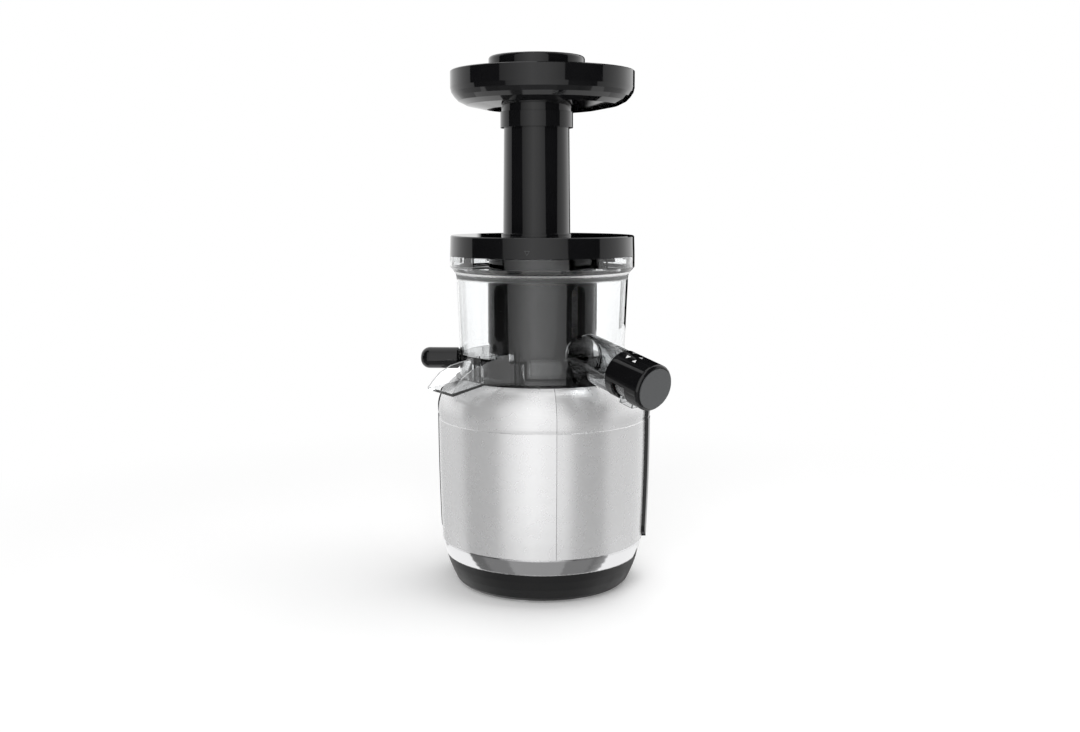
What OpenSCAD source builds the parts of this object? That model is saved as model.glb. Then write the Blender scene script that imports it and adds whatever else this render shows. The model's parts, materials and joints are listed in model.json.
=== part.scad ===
// Cold press juicer: a standing motor base with a clear juicing bowl, a lid
// with a tall feed tube, a feed tray and a pusher.
// The origin is on the drive axis at the level of the floor, +Z is up and the
// front of the product faces -Y. Azimuths turn from the front towards +X.

/* [Base] */
// Height of the rubber feet below the base
foot_h = 2; // [1:0.5:6]
// Radius of a foot
foot_r = 8; // [5:0.5:10]
// Distance of the feet from the axis
foot_ring_r = 57; // [50:1:58]
// Radius of the flat underside
base_bottom_r = 67.65; // [67:0.5:72]
// Radius of the base cup at its top edge
base_top_r = 82.2; // [80:0.2:83]
// Height of the base cup
base_h = 25; // [22:0.5:30]
// Height of the bright ring above the base cup
ring_h = 13.7; // [10:0.5:18]
// Radius of the silver panel at its lower edge
panel_bottom_r = 85.6; // [84.5:0.1:86.5]
// Radius of the silver panel at its upper edge
panel_top_r = 87.85; // [87:0.1:88.5]
// Height of the silver panel
panel_h = 102.4; // [98:1:112]
// Largest radius of the shoulder above the panel
shoulder_r = 88; // [87.5:0.1:89]
// Height of the shoulder
shoulder_h = 34.4; // [32:0.5:38]
// Radius of the shoulder at its top edge
shoulder_top_r = 73; // [72:0.5:75]
// Wall of the body shells
shell_wall = 2.4; // [1.8:0.1:3]
// Wall of the base cup
cup_wall = 2.6; // [2:0.1:3.2]
// Gap between the two body shells
seam_gap = 0.3; // [0.1:0.05:0.6]
// How far the side grips stand proud at their middle
grip_t = 4.4; // [3:0.1:6]
// Height of a side grip
grip_h = 122; // [100:1:124]
// Width of a side grip
grip_w = 48; // [36:1:50]

/* [Drive] */
// Module of the gears in the gearbox
gear_m = 1.25; // [1.2:0.05:1.3]
// Teeth on the pinions of the gearbox
pinion_n = 12; // [12:1:13]
// Teeth on the wheels of the gearbox
wheel_n = 48; // [46:1:48]
// Face width of the gears in the gearbox
gear_w = 10; // [8:0.5:12]
// Radius of the motor can
motor_r = 45; // [42:0.5:46]
// Height of the stator
stator_h = 44; // [38:1:46]
// Radius of the rotor
rotor_r = 16; // [14:0.5:18]
// Radius of the motor shaft
motor_shaft_r = 4; // [3:0.25:4.5]
// Radius of the output shaft
drive_r = 7.5; // [7:0.25:8]
// Width across the flats of the drive hexagon
hex_af = 12; // [11:0.25:12.5]

/* [Bowl] */
// Height of the clear bowl
bowl_h = 100.4; // [98:0.2:104]
// Outer radius of the bowl at its foot
bowl_foot_r = 69.5; // [69:0.1:70]
// Outer radius of the bowl below its rim
bowl_neck_r = 72; // [71.5:0.1:72.5]
// Outer radius of the bowl's rim
bowl_rim_r = 77.3; // [77:0.1:78]
// Wall of the bowl
bowl_wall = 2; // [1.5:0.1:2.2]
// Height of the raised floor above the foot of the bowl
plateau_h = 19.3; // [18.5:0.1:20]
// Height of the juice channel's floor above the foot of the bowl
channel_h = 5.7; // [5:0.1:6.5]
// Radius of the wall inside the juice channel
riser_r = 57; // [56:0.5:58]
// Outer radius of the juice tube
spout_r = 18; // [17:0.25:18.5]
// Length of the juice tube beyond the bowl
spout_len = 74; // [70:1:78]
// Slope of the juice tube
spout_tilt = 13; // [8:0.5:15]
// Azimuth of the juice tube
spout_azimuth = 40; // [36:1:46]
// Length of the turning tap cap
cap_len = 36; // [34:1:38]

/* [Juicing set] */
// Module of the gears that turn the brush
bowl_m = 1.5; // [1.45:0.01:1.55]
// Teeth on the auger's gear
sun_n = 20; // [20:2:22]
// Teeth on the two small gears
planet_n = 14; // [13:1:15]
// Outer radius of the auger's flight
auger_r = 31; // [28:0.5:31.5]
// Depth of the top of the auger's screw below the rim of the bowl
auger_drop = 4.3; // [3:0.1:9]
// Outer radius of the strainer
strainer_r = 36; // [35.5:0.1:36.3]
// Outer radius of the brush frame
brush_r = 46; // [45:0.5:48]
// Depth of the top of the brush frame below the rim of the bowl
brush_drop = 19.5; // [18.5:0.5:22]

/* [Top] */
// Radius of the lid at its top edge
lid_r = 76.8; // [76.5:0.1:77.3]
// Height of the lid
lid_h = 16.8; // [15:0.2:19]
// Outer radius of the feed tube at the lid
tube_r = 27.3; // [27:0.1:27.8]
// Outer radius of the feed tube at its mouth
tube_top_r = 26.1; // [25.9:0.1:26.4]
// Wall of the feed tube
tube_wall = 2.2; // [1.8:0.1:2.2]
// Height of the feed tube above the lid
tube_h = 104; // [96:1:115]
// Distance of the feed tube in front of the axis
tube_y = 29; // [27:0.5:30]
// Distance of the feed tube to the left of the axis
tube_x = 4.6; // [3:0.2:6]
// Outer radius of the feed tray
tray_r = 75.9; // [74:0.5:80]
// Height of the feed tray from its underside to its rim
tray_h = 32; // [30:0.5:36]
// Wall of the feed tray
tray_wall = 2.8; // [2.2:0.1:3.2]
// Radius of the pusher's head
pusher_r = 38.5; // [36:0.5:39]
// Height of the pusher's head above the tray rim
pusher_rise = 8.5; // [6:0.5:14]
// Length of the pusher's stem inside the feed tube
stem_len = 84; // [60:1:90]

/* [Hidden] */
$fn = 96;
over = 1;
step_gap = 0.25;
seat_gap = 0.3;
run_gap = 0.05;
slide_gap = 0.4;
deck_lip = 1.1;
front_azimuth = -9;
seam_azimuth = 7.4;
steps = 16;

z_base = foot_h;
z_ring = z_base + base_h;
z_panel = z_ring + ring_h;
z_crease = z_panel + panel_h;
z_shoulder = z_crease + shoulder_h;
z_deck = z_shoulder + deck_lip;
z_bowl = z_deck + seat_gap;
z_channel = z_bowl + channel_h;
z_plateau = z_bowl + plateau_h;
z_rim = z_bowl + bowl_h;
z_lid = z_rim + seat_gap;
z_lid_top = z_lid + lid_h;
z_tube_top = z_lid_top + tube_h;
tray_drop = 2.1;
z_tray = z_tube_top - tray_drop;
z_tray_rim = z_tray + tray_h;

// A place or a turn at an azimuth
module at_azimuth(a) {
  rotate([0, 0, a - 90])
    children();
}

// A ring between two radii
module tube(r_out, r_in, h) {
  difference() {
    cylinder(r = r_out, h = h);
    translate([0, 0, -over])
      cylinder(r = r_in, h = h + 2 * over);
  }
}

// A sector of a ring, from azimuth a0 to azimuth a1
module sector(r_out, r_in, h, a0, a1) {
  at_azimuth(a0)
    rotate_extrude(angle = a1 - a0)
      translate([r_in, 0])
        square([r_out - r_in, h]);
}

// A rectangle with round corners, centred, whose corners are true arcs
module round_rect(w, h, r) {
  square([w - 2 * r, h], center = true);
  square([w, h - 2 * r], center = true);
  for (i = [-1, 1], j = [-1, 1])
    translate([i * (w / 2 - r), j * (h / 2 - r)])
      circle(r = r);
}

function arc(cx, cy, r, a0, a1, n) =
  [for (i = [0:n]) let (a = a0 + (a1 - a0) * i / n) [cx + r * cos(a), cy + r * sin(a)]];

// Gear teeth. An involute flank has three points, and the tooth is thinned by a backlash.
backlash = 0.24;
pressure = 20;
tip_share = 0.8;
root_share = 1.16;
function inv(a) = tan(a) * 180 / PI - a;
function roll(rb, r) = inv(acos(min(1, rb / r)));
function half_tooth(m, n, r) =
  let (rp = m * n / 2, rb = rp * cos(pressure))
  90 / n - backlash / rp * 45 / PI + inv(pressure) - roll(rb, max(r, rb));
function tooth(m, n, r_tip, r_root) =
  let (rm = (r_tip + r_root) / 2)
  [[r_root, -half_tooth(m, n, r_root)], [rm, -half_tooth(m, n, rm)],
   [r_tip, -half_tooth(m, n, r_tip)], [r_tip, half_tooth(m, n, r_tip)],
   [rm, half_tooth(m, n, rm)], [r_root, half_tooth(m, n, r_root)]];
module gear_outline(m, n) {
  rp = m * n / 2;
  one = tooth(m, n, rp + tip_share * m, rp - root_share * m);
  polygon([for (i = [0:n - 1], p = one) let (a = p[1] + i * 360 / n) [p[0] * cos(a), p[0] * sin(a)]]);
}
// The space that an internal gear leaves: its own teeth are the gaps of this outline
function gap_half(m, n, r) =
  let (rp = m * n / 2, rb = rp * cos(pressure))
  90 / n + backlash / rp * 45 / PI + inv(pressure) - roll(rb, max(r, rb));
module internal_outline(m, n) {
  rp = m * n / 2;
  r_in = rp - tip_share * m;
  r_out = rp + root_share * m;
  one = [[r_in, -gap_half(m, n, r_in)], [rp, -gap_half(m, n, rp)], [r_out, -gap_half(m, n, r_out)],
         [r_out, gap_half(m, n, r_out)], [rp, gap_half(m, n, rp)], [r_in, gap_half(m, n, r_in)]];
  polygon([for (i = [0:n - 1], p = one) let (a = p[1] + i * 360 / n) [p[0] * cos(a), p[0] * sin(a)]]);
}

// Outline of the body
crease_depth = 0.5;
belly_share = 0.2;
belly_z = z_crease + shoulder_h * belly_share;
belly_rise = z_shoulder - belly_z;
belly_c = (shoulder_r * shoulder_r - shoulder_top_r * shoulder_top_r - belly_rise * belly_rise)
  / (2 * (shoulder_r - shoulder_top_r));
belly_arc = shoulder_r - belly_c;
belly_a0 = -asin((belly_z - z_crease - crease_depth) / belly_arc);
belly_a1 = asin(belly_rise / belly_arc);
ring_shares = [[0, 0], [0.3, 0.22], [0.62, 0.5], [0.86, 0.78], [1, 1]];
cup_shares = [[0, 0], [0.22, 0.035], [0.42, 0.14], [0.66, 0.44], [0.86, 0.74], [1, 1]];
function ring_pts(d) =
  [for (p = ring_shares) [base_top_r + (panel_bottom_r - base_top_r) * p[0] - d, z_ring + ring_h * p[1]]];
function panel_pts(d) =
  [for (i = [0:8]) let (s = i / 8)
    [panel_top_r - (panel_top_r - panel_bottom_r) * pow(1 - s, 2) - d, z_panel + panel_h * s]];
function shoulder_pts(d) =
  [for (p = arc(belly_c, belly_z, belly_arc, belly_a0, belly_a1, steps)) [p[0] - d, p[1]]];
function cup_pts(d) =
  [for (p = cup_shares) [base_bottom_r + (base_top_r - base_bottom_r) * p[0] - d, z_base + base_h * p[1]]];
function backwards(v) = [for (i = [len(v) - 1:-1:0]) v[i]];
module body_solid(d) {
  rotate_extrude()
    polygon(concat([[0, z_ring]], ring_pts(-d), panel_pts(-d), shoulder_pts(-d), [[0, z_shoulder]]));
}

// Base cup, feet and ring
post_ring_r = 62;
post_r = 4.6;
post_h = 34;
post_azimuths = [22, 158];
screw_r = 2;
screw_head_r = 3.8;
screw_head_h = 2.4;
foot_seat = 0.8;
foot_azimuths = [52, 128, -128, -52];
isolator_ring_r = 37;
isolator_r = 5;
isolator_h = 6;
isolator_post_h = 9;
z_motor = z_base + cup_wall + isolator_post_h + isolator_h;
gland_r = 6;
gland_bore_r = 3.6;
gland_flange_r = 8.5;
gland_flange_h = 2.4;
gland_len = 17;
z_gland = z_base + base_h * 0.56;
cup_floor = z_base + cup_wall;
cup_ledge = 3;
board_t = 1.6;
board_w = 56;
board_h = 52;
board_ring_r = 64;
board_slot_h = 5;
z_board = z_ring + cup_ledge;
vent_n = 12;
vent_w = 2.4;
vent_len = 16;
vent_ring_r = 22;

module posts(r, h) {
  for (a = post_azimuths, s = [-1, 1])
    at_azimuth(seam_azimuth + s * a)
      translate([post_ring_r, 0, 0])
        cylinder(r = r, h = h);
}

module bottom_cover() {
  color("#1b1c1d")
    difference() {
      union() {
        rotate_extrude()
          polygon(concat(
            [[0, z_base]], cup_pts(0),
            [[base_top_r - cup_wall, z_ring]],
            backwards([for (p = cup_pts(cup_wall)) if (p[1] > cup_floor) p]),
            [[base_bottom_r - cup_wall, cup_floor], [0, cup_floor]]));
        translate([0, 0, cup_floor - cup_wall / 2])
          posts(post_r, base_h - cup_wall / 2 - seat_gap);
        for (a = [0:90:270])
          rotate([0, 0, a])
            translate([isolator_ring_r, 0, cup_floor - cup_wall / 2])
              cylinder(r = isolator_r, h = isolator_post_h + cup_wall / 2);
        for (s = [-1, 1])
          at_azimuth(-90)
            translate([board_ring_r, s * board_w * 0.36, cup_floor - cup_wall / 2])
              difference() {
                cylinder(r = post_r, h = z_board + board_slot_h - cup_floor);
                translate([-board_t / 2 - seat_gap / 2, -post_r - over, z_board - cup_floor + cup_wall / 2])
                  cube([board_t + seat_gap, 2 * (post_r + over), board_slot_h + over]);
              }
      }
      translate([0, 0, z_base - over])
        posts(screw_r + seat_gap, base_h + 2 * over);
      translate([0, 0, z_base - over])
        posts(screw_head_r + seat_gap, screw_head_h + over);
      for (a = foot_azimuths)
        at_azimuth(a)
          translate([foot_ring_r, 0, z_base - over])
            cylinder(r = foot_r + run_gap, h = foot_seat + over);
      at_azimuth(180)
        translate([base_bottom_r - gland_len, 0, z_gland])
          rotate([0, 90, 0])
            cylinder(r = gland_r + run_gap, h = 3 * gland_len);
      for (i = [0:vent_n - 1])
        rotate([0, 0, i * 360 / vent_n])
          translate([vent_ring_r - vent_len / 2, -vent_w / 2, z_base - over])
            cube([vent_len, vent_w, cup_wall + 2 * over]);
    }
}

module rubber_feet() {
  color("#141414")
    for (a = foot_azimuths)
      at_azimuth(a)
        translate([foot_ring_r, 0, 0]) {
          cylinder(r1 = foot_r - foot_seat, r2 = foot_r, h = foot_h / 2);
          translate([0, 0, foot_h / 2])
            cylinder(r = foot_r, h = foot_h / 2 + foot_seat);
        }
}

module trim_ring() {
  color("#d9dadb")
    rotate_extrude()
      polygon(concat(
        [for (p = ring_pts(0)) [p[0], p[1] + (p == ring_pts(0)[0] ? run_gap : 0)]],
        [[panel_bottom_r - shell_wall - cup_wall, z_panel]],
        [[base_top_r - shell_wall - cup_wall, z_ring + run_gap]]));
}

// Body shells
module shell_half(side) {
  difference() {
    union() {
      at_azimuth(seam_azimuth - (side < 0 ? 180 : 0))
        rotate_extrude(angle = 180)
          polygon(concat(
            [[panel_bottom_r, z_panel + run_gap]],
            [for (i = [1:8]) panel_pts(0)[i]],
            shoulder_pts(0),
            backwards(shoulder_pts(shell_wall)),
            backwards([for (i = [1:8]) panel_pts(shell_wall)[i]]),
            [[panel_bottom_r - shell_wall, z_panel + run_gap]]));
      for (a = post_azimuths)
        at_azimuth(seam_azimuth + side * a) {
          translate([post_ring_r, 0, z_ring])
            cylinder(r = post_r, h = post_h);
          translate([post_ring_r, -shell_wall / 2, z_panel + ring_h * 0.2])
            cube([panel_bottom_r - shell_wall / 2 - post_ring_r, shell_wall, post_h - ring_h * 1.2]);
        }
    }
    translate([0, 0, z_ring - over])
      posts(screw_r - seat_gap, post_h * 0.8);
    at_azimuth(seam_azimuth)
      translate([-2 * panel_top_r, -seam_gap / 2, z_ring - over])
        cube([4 * panel_top_r, seam_gap, z_deck]);
  }
}

module left_shell() {
  color("#c9cacc")
    shell_half(-1);
}

module right_shell() {
  color("#c9cacc")
    difference() {
      shell_half(1);
      at_switch()
        translate([0, -switch_body_w / 2 - seat_gap, -switch_body_h / 2 - seat_gap])
          cube([2 * panel_top_r, switch_body_w + 2 * seat_gap, switch_body_h + 2 * seat_gap]);
    }
}

// Side grips, crowned by turning their face about an axis nearer to them
grip_azimuth = 104;
grip_round = 12;
grip_shift = 30;
grip_lift = 1.5;
z_grip = z_panel - grip_lift + grip_h / 2;
grip_gap = 0.15;
grip_depth = 30;
module side_grip(side) {
  difference() {
    intersection() {
      at_azimuth(front_azimuth + side * grip_azimuth)
        translate([grip_shift, 0, 0])
          rotate_extrude()
            polygon(concat(
              [[0, z_ring]],
              ring_pts(grip_shift - grip_t),
              panel_pts(grip_shift - grip_t),
              shoulder_pts(grip_shift - grip_t),
              [[0, z_shoulder]]));
      at_azimuth(front_azimuth + side * grip_azimuth)
        translate([panel_top_r - grip_depth, 0, z_grip])
          rotate([90, 0, 90])
            linear_extrude(height = 2 * grip_depth)
              round_rect(grip_w, grip_h, grip_round);
    }
    body_solid(grip_gap);
  }
}

module left_grip() {
  color("#17181a")
    side_grip(-1);
}

module right_grip() {
  color("#17181a")
    side_grip(1);
}

// Deck that closes the body and carries the bowl
hub_r = riser_r - bowl_wall - slide_gap;
hub_top = z_plateau - bowl_wall - 3 * seat_gap;
hub_wall = 2.6;
deck_plug_h = 5;
tower_r = 14;
bush_r = 10;
duct_a0 = -57;
duct_a1 = -15;
port_turn = 4;
duct_margin_turn = 4;
gate_a0 = -142;
boss_h = 10;
module top_deck() {
  color("#1b1c1e")
    difference() {
      union() {
        translate([0, 0, z_shoulder + run_gap])
          cylinder(r = shoulder_top_r, h = deck_lip - run_gap);
        translate([0, 0, z_shoulder - deck_plug_h])
          cylinder(r = shoulder_top_r - shell_wall - slide_gap, h = deck_plug_h + deck_lip / 2);
        translate([0, 0, z_shoulder])
          cylinder(r = hub_r, h = hub_top - z_shoulder);
      }
      translate([0, 0, z_shoulder - deck_plug_h - over])
        difference() {
          cylinder(r = hub_r - hub_wall, h = hub_top - hub_wall - z_shoulder + deck_plug_h + over);
          translate([0, 0, -over])
            cylinder(r = tower_r, h = hub_top);
          translate([0, 0, deck_plug_h + over - hub_wall])
            sector(hub_r, 0, hub_top, gate_a0 - duct_margin_turn, duct_a1 + duct_margin_turn);
        }
      translate([0, 0, z_deck])
        sector(hub_r + over, tower_r, hub_top, gate_a0, duct_a1 + duct_margin_turn);
      translate([0, 0, z_shoulder - deck_plug_h - over])
        cylinder(r = bush_r, h = hub_top);
    }
}

module cover_screws() {
  color("#8f9194")
    translate([0, 0, z_base + run_gap])
      difference() {
        union() {
          translate([0, 0, screw_head_h - 2 * run_gap])
            posts(screw_r - seat_gap - run_gap, base_h + post_h * 0.5);
          posts(screw_head_r, screw_head_h - run_gap);
        }
        for (a = post_azimuths, s = [-1, 1])
          at_azimuth(seam_azimuth + s * a)
            translate([post_ring_r, 0, 0])
              for (t = [0, 90])
                rotate([0, 0, t])
                  cube([screw_head_r * 1.2, screw_r * 0.4, screw_head_h], center = true);
      }
}

module cord_gland() {
  color("#161616")
    at_azimuth(180)
      translate([0, 0, z_gland])
        rotate([0, 90, 0])
          difference() {
            union() {
              translate([0, 0, base_top_r - gland_len])
                cylinder(r = gland_r, h = gland_len);
              translate([0, 0, base_top_r])
                cylinder(r = gland_flange_r, h = gland_flange_h);
              translate([0, 0, base_top_r - gland_len])
                cylinder(r = gland_flange_r, h = gland_flange_h);
            }
            translate([0, 0, base_top_r - gland_len - over])
              cylinder(r = gland_bore_r, h = gland_len + gland_flange_h + 2 * over);
          }
}

// Power switch at the rear right
switch_azimuth = 150;
switch_body_w = 20;
switch_body_h = 38;
switch_body_d = 22;
switch_flange = 4;
switch_flange_t = 1.6;
switch_wall = 2;
rocker_w = 15;
rocker_h = 27;
rocker_front = 13;
rocker_dip = 2.6;
rocker_back = 5;
rocker_pin_r = 1.6;
z_switch = z_panel + panel_h * 0.34;
switch_front = panel_top_r + switch_flange_t;
rocker_pivot = switch_front - rocker_front + switch_flange_t * 0.5;

module at_switch() {
  at_azimuth(switch_azimuth)
    translate([0, 0, z_switch])
      children();
}

module switch_housing() {
  color("#202122")
    at_switch()
      difference() {
        union() {
          translate([switch_front - switch_body_d, -switch_body_w / 2, -switch_body_h / 2])
            cube([switch_body_d, switch_body_w, switch_body_h]);
          difference() {
            translate([switch_front - 4 * switch_flange_t, 0, 0])
              rotate([90, 0, 90])
                linear_extrude(height = 4 * switch_flange_t)
                  round_rect(switch_body_w + 2 * switch_flange, switch_body_h + 2 * switch_flange,
                             switch_flange);
            translate([0, 0, -z_switch])
              body_solid(grip_gap);
          }
        }
        translate([switch_front - switch_body_d + switch_wall, -rocker_w / 2 - slide_gap,
                   -switch_body_h / 2 + switch_wall])
          cube([switch_body_d, rocker_w + 2 * slide_gap, switch_body_h - 2 * switch_wall]);
        translate([rocker_pivot, 0, 0])
          rotate([90, 0, 0])
            cylinder(r = rocker_pin_r + run_gap, h = switch_body_w - switch_wall, center = true);
      }
}

module power_rocker() {
  color("#101010")
    at_switch()
      translate([rocker_pivot, 0, 0])
        rotate([90, 0, 0]) {
          linear_extrude(height = rocker_w, center = true)
            polygon([[-rocker_back, -rocker_h * 0.3], [rocker_front, -rocker_h / 2],
                     [rocker_front - rocker_dip, 0], [rocker_front, rocker_h / 2],
                     [-rocker_back, rocker_h * 0.3]]);
          cylinder(r = rocker_pin_r, h = switch_body_w - switch_wall - seat_gap, center = true);
        }
}

part_h = 9;
part_r = 5;
module control_board() {
  color("#1f5a38")
    at_azimuth(-90)
      translate([board_ring_r, 0, z_board + seat_gap / 2]) {
        translate([-board_t / 2, -board_w / 2, 0])
          cube([board_t, board_w, board_h]);
        translate([board_t / 2, -board_w * 0.3, board_h * 0.55])
          cube([part_h, board_w * 0.3, board_h * 0.28]);
        translate([board_t / 2, board_w * 0.1, board_h * 0.2])
          cube([part_h * 0.6, board_w * 0.3, board_h * 0.18]);
        for (i = [0, 1])
          translate([board_t / 2, board_w * (0.12 + 0.22 * i), board_h * 0.7])
            rotate([0, 90, 0])
              cylinder(r = part_r, h = part_h);
      }
}

// Motor
bell_h = 14;
bell_wall = 2.6;
bearing_r = 9;
bearing_h = 5;
stator_bore_r = rotor_r + slide_gap;
winding_r0_share = 0.46;
winding_r1_share = 0.82;
winding_h = 8;
z_stator = z_motor + bell_h;
z_upper_bell = z_stator + stator_h;
z_gearbox = z_upper_bell + bell_h;
fan_r = 28;
fan_h = 7;
fan_t = 1.6;
fan_blades = 9;
fan_hub_r = 8;
z_fan = z_motor - fan_h - 2 * fan_t;
slot_n = 12;
slot_w = 4;

module motor_isolators() {
  color("#262626")
    for (a = [0:90:270])
      rotate([0, 0, a])
        translate([isolator_ring_r, 0, cup_floor + isolator_post_h + run_gap])
          cylinder(r = isolator_r, h = isolator_h - 2 * run_gap);
}

module bell(up) {
  difference() {
    cylinder(r = motor_r, h = bell_h);
    translate([0, 0, up ? -over : bell_wall])
      cylinder(r = motor_r - bell_wall, h = bell_h - bell_wall + over);
    translate([0, 0, -over])
      cylinder(r = motor_shaft_r + slide_gap, h = bell_h + 2 * over);
    for (a = [45:90:315])
      rotate([0, 0, a])
        translate([motor_r * 0.58, 0, -over])
          cylinder(r = motor_r * 0.12, h = bell_h + 2 * over);
  }
  translate([0, 0, up ? bell_h - bell_wall - bearing_h : bell_wall])
    tube(bearing_r + bell_wall, bearing_r + run_gap, bearing_h);
}

module lower_bell() {
  color("#a9acae")
    translate([0, 0, z_motor])
      bell(false);
}

module upper_bell() {
  color("#a9acae")
    translate([0, 0, z_upper_bell])
      bell(true);
}

module stator_core() {
  color("#6f7377")
    translate([0, 0, z_stator + run_gap])
      difference() {
        cylinder(r = motor_r - bell_wall / 2, h = stator_h - 2 * run_gap);
        translate([0, 0, -over])
          cylinder(r = stator_bore_r, h = stator_h + 2 * over);
        for (i = [0:slot_n - 1])
          rotate([0, 0, i * 360 / slot_n])
            translate([motor_r * (winding_r0_share + 0.04), -slot_w / 2, -over])
              cube([motor_r * (winding_r1_share - winding_r0_share - 0.08), slot_w, stator_h + 2 * over]);
      }
}

module stator_windings() {
  color("#b5642c")
    for (z = [z_stator - winding_h, z_upper_bell])
      translate([0, 0, z])
        tube(motor_r * winding_r1_share, motor_r * winding_r0_share, winding_h);
}

module ball_bearing(r_out, r_in, h) {
  tube(r_out, r_in, h);
}

module motor_bearings() {
  color("#b9bcc0") {
    translate([0, 0, z_motor + bell_wall])
      ball_bearing(bearing_r, motor_shaft_r + run_gap, bearing_h);
    translate([0, 0, z_gearbox - bell_wall - bearing_h])
      ball_bearing(bearing_r, motor_shaft_r + run_gap, bearing_h);
  }
}

// Gearbox
gear_c = gear_m * (pinion_n + wheel_n) / 2;
wheel_tip_r = gear_m * (wheel_n / 2 + tip_share);
gearbox_wall = 3;
gearbox_in_r = wheel_tip_r + 4 * slide_gap;
gearbox_clear = 4 * slide_gap;
z_pinion = z_gearbox + gearbox_wall + gearbox_clear;
z_small = z_pinion + gear_w;
z_output = z_small + gearbox_clear;
z_cover = z_output + gear_w + gearbox_clear;
motor_shaft_top = z_pinion + gear_w;
step_pin_r = 4;
output_bush_h = 8;
step_turn = 270 - (0.5 - 90 * pinion_n / 360) * 360 / wheel_n;
output_turn = 90 - (0.5 - 270 * pinion_n / 360) * 360 / wheel_n;

module gearbox_plan(r) {
  circle(r = r);
  translate([0, gear_c])
    circle(r = r);
  translate([-r, 0])
    square([2 * r, gear_c]);
}

module gearbox_lugs(r) {
  for (s = [-1, 1], y = [0, 1])
    translate([s * (gearbox_in_r + gearbox_wall + screw_r), gear_c * y])
      circle(r = r);
}

module gearbox_housing() {
  color("#8b8f93")
    difference() {
      translate([0, 0, z_gearbox])
        linear_extrude(height = z_cover - z_gearbox) {
          gearbox_plan(gearbox_in_r + gearbox_wall);
          gearbox_lugs(screw_head_r + screw_r);
        }
      translate([0, 0, z_gearbox + gearbox_wall])
        linear_extrude(height = z_cover)
          gearbox_plan(gearbox_in_r);
      translate([0, 0, z_gearbox - over])
        cylinder(r = motor_shaft_r + 2 * slide_gap, h = gearbox_wall + 2 * over);
      translate([0, gear_c, z_gearbox + gearbox_wall / 2])
        cylinder(r = step_pin_r + run_gap, h = gearbox_wall);
      translate([0, 0, z_gearbox + gearbox_wall])
        linear_extrude(height = z_cover)
          gearbox_lugs(screw_r - seat_gap);
    }
}

module gearbox_cover() {
  color("#9a9ea2")
    difference() {
      union() {
        translate([0, 0, z_cover + run_gap])
          linear_extrude(height = gearbox_wall) {
            gearbox_plan(gearbox_in_r + gearbox_wall);
            gearbox_lugs(screw_head_r + screw_r);
          }
        translate([0, 0, z_cover + gearbox_wall])
          cylinder(r = tower_r, h = output_bush_h);
      }
      translate([0, 0, z_cover - over])
        cylinder(r = bush_r, h = output_bush_h + 3 * gearbox_wall);
      translate([0, gear_c, z_cover - over])
        cylinder(r = step_pin_r + run_gap, h = gearbox_wall * 0.6 + over);
      translate([0, 0, z_cover - over])
        linear_extrude(height = gearbox_wall + 3 * over)
          gearbox_lugs(screw_r + seat_gap);
    }
}

module gearbox_screws() {
  color("#8f9194") {
    translate([0, 0, z_cover + gearbox_wall + 2 * run_gap])
      linear_extrude(height = screw_head_h)
        gearbox_lugs(screw_head_r);
    translate([0, 0, z_cover + gearbox_wall + 2 * run_gap - 3 * screw_head_r])
      linear_extrude(height = 3 * screw_head_r)
        gearbox_lugs(screw_r - seat_gap - run_gap);
  }
}

module step_gear_pin() {
  color("#b9bcc0")
    translate([0, gear_c, z_gearbox + gearbox_wall / 2 + run_gap])
      cylinder(r = step_pin_r,
               h = z_cover + gearbox_wall * 0.6 - z_gearbox - gearbox_wall / 2 - 2 * run_gap);
}

module step_gear() {
  color("#7d8186")
    translate([0, gear_c, 0])
      difference() {
        union() {
          translate([0, 0, z_pinion])
            linear_extrude(height = gear_w)
              rotate(step_turn)
                gear_outline(gear_m, wheel_n);
          translate([0, 0, z_small])
            linear_extrude(height = z_cover - z_small - gearbox_clear / 2)
              gear_outline(gear_m, pinion_n);
          translate([0, 0, z_gearbox + gearbox_wall + slide_gap])
            cylinder(r = step_pin_r + gearbox_wall / 2, h = gearbox_clear);
        }
        translate([0, 0, z_gearbox])
          cylinder(r = step_pin_r + run_gap, h = z_cover);
      }
}

module output_gear() {
  color("#8c9095")
    translate([0, 0, z_output])
      difference() {
        linear_extrude(height = gear_w)
          rotate(output_turn)
            gear_outline(gear_m, wheel_n);
        translate([0, 0, -over])
          cylinder(r = drive_r + run_gap, h = gear_w + 2 * over);
      }
}

hex_h = 16;
z_hex = z_plateau + boss_h;
module drive_shaft() {
  color("#c3c6c9") {
    translate([0, 0, z_output])
      cylinder(r = drive_r, h = z_hex - z_output);
    translate([0, 0, z_hex])
      cylinder(r = hex_af / sqrt(3), h = hex_h, $fn = 6);
  }
}

module shaft_bushes() {
  color("#b08a4a") {
    translate([0, 0, z_cover + gearbox_clear])
      tube(bush_r - run_gap, drive_r + run_gap, output_bush_h);
    translate([0, 0, z_shoulder + run_gap])
      tube(bush_r - run_gap, drive_r + run_gap, hub_top - z_shoulder - 2 * run_gap);
  }
}

module motor_shaft() {
  color("#c3c6c9") {
    translate([0, 0, z_fan - fan_t])
      cylinder(r = motor_shaft_r, h = motor_shaft_top - z_fan + fan_t);
    translate([0, 0, z_pinion])
      linear_extrude(height = gear_w)
        gear_outline(gear_m, pinion_n);
  }
}

module rotor_core() {
  color("#75797d")
    translate([0, 0, z_stator + slide_gap])
      tube(rotor_r, motor_shaft_r + run_gap, stator_h - 2 * slide_gap);
}

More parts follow.
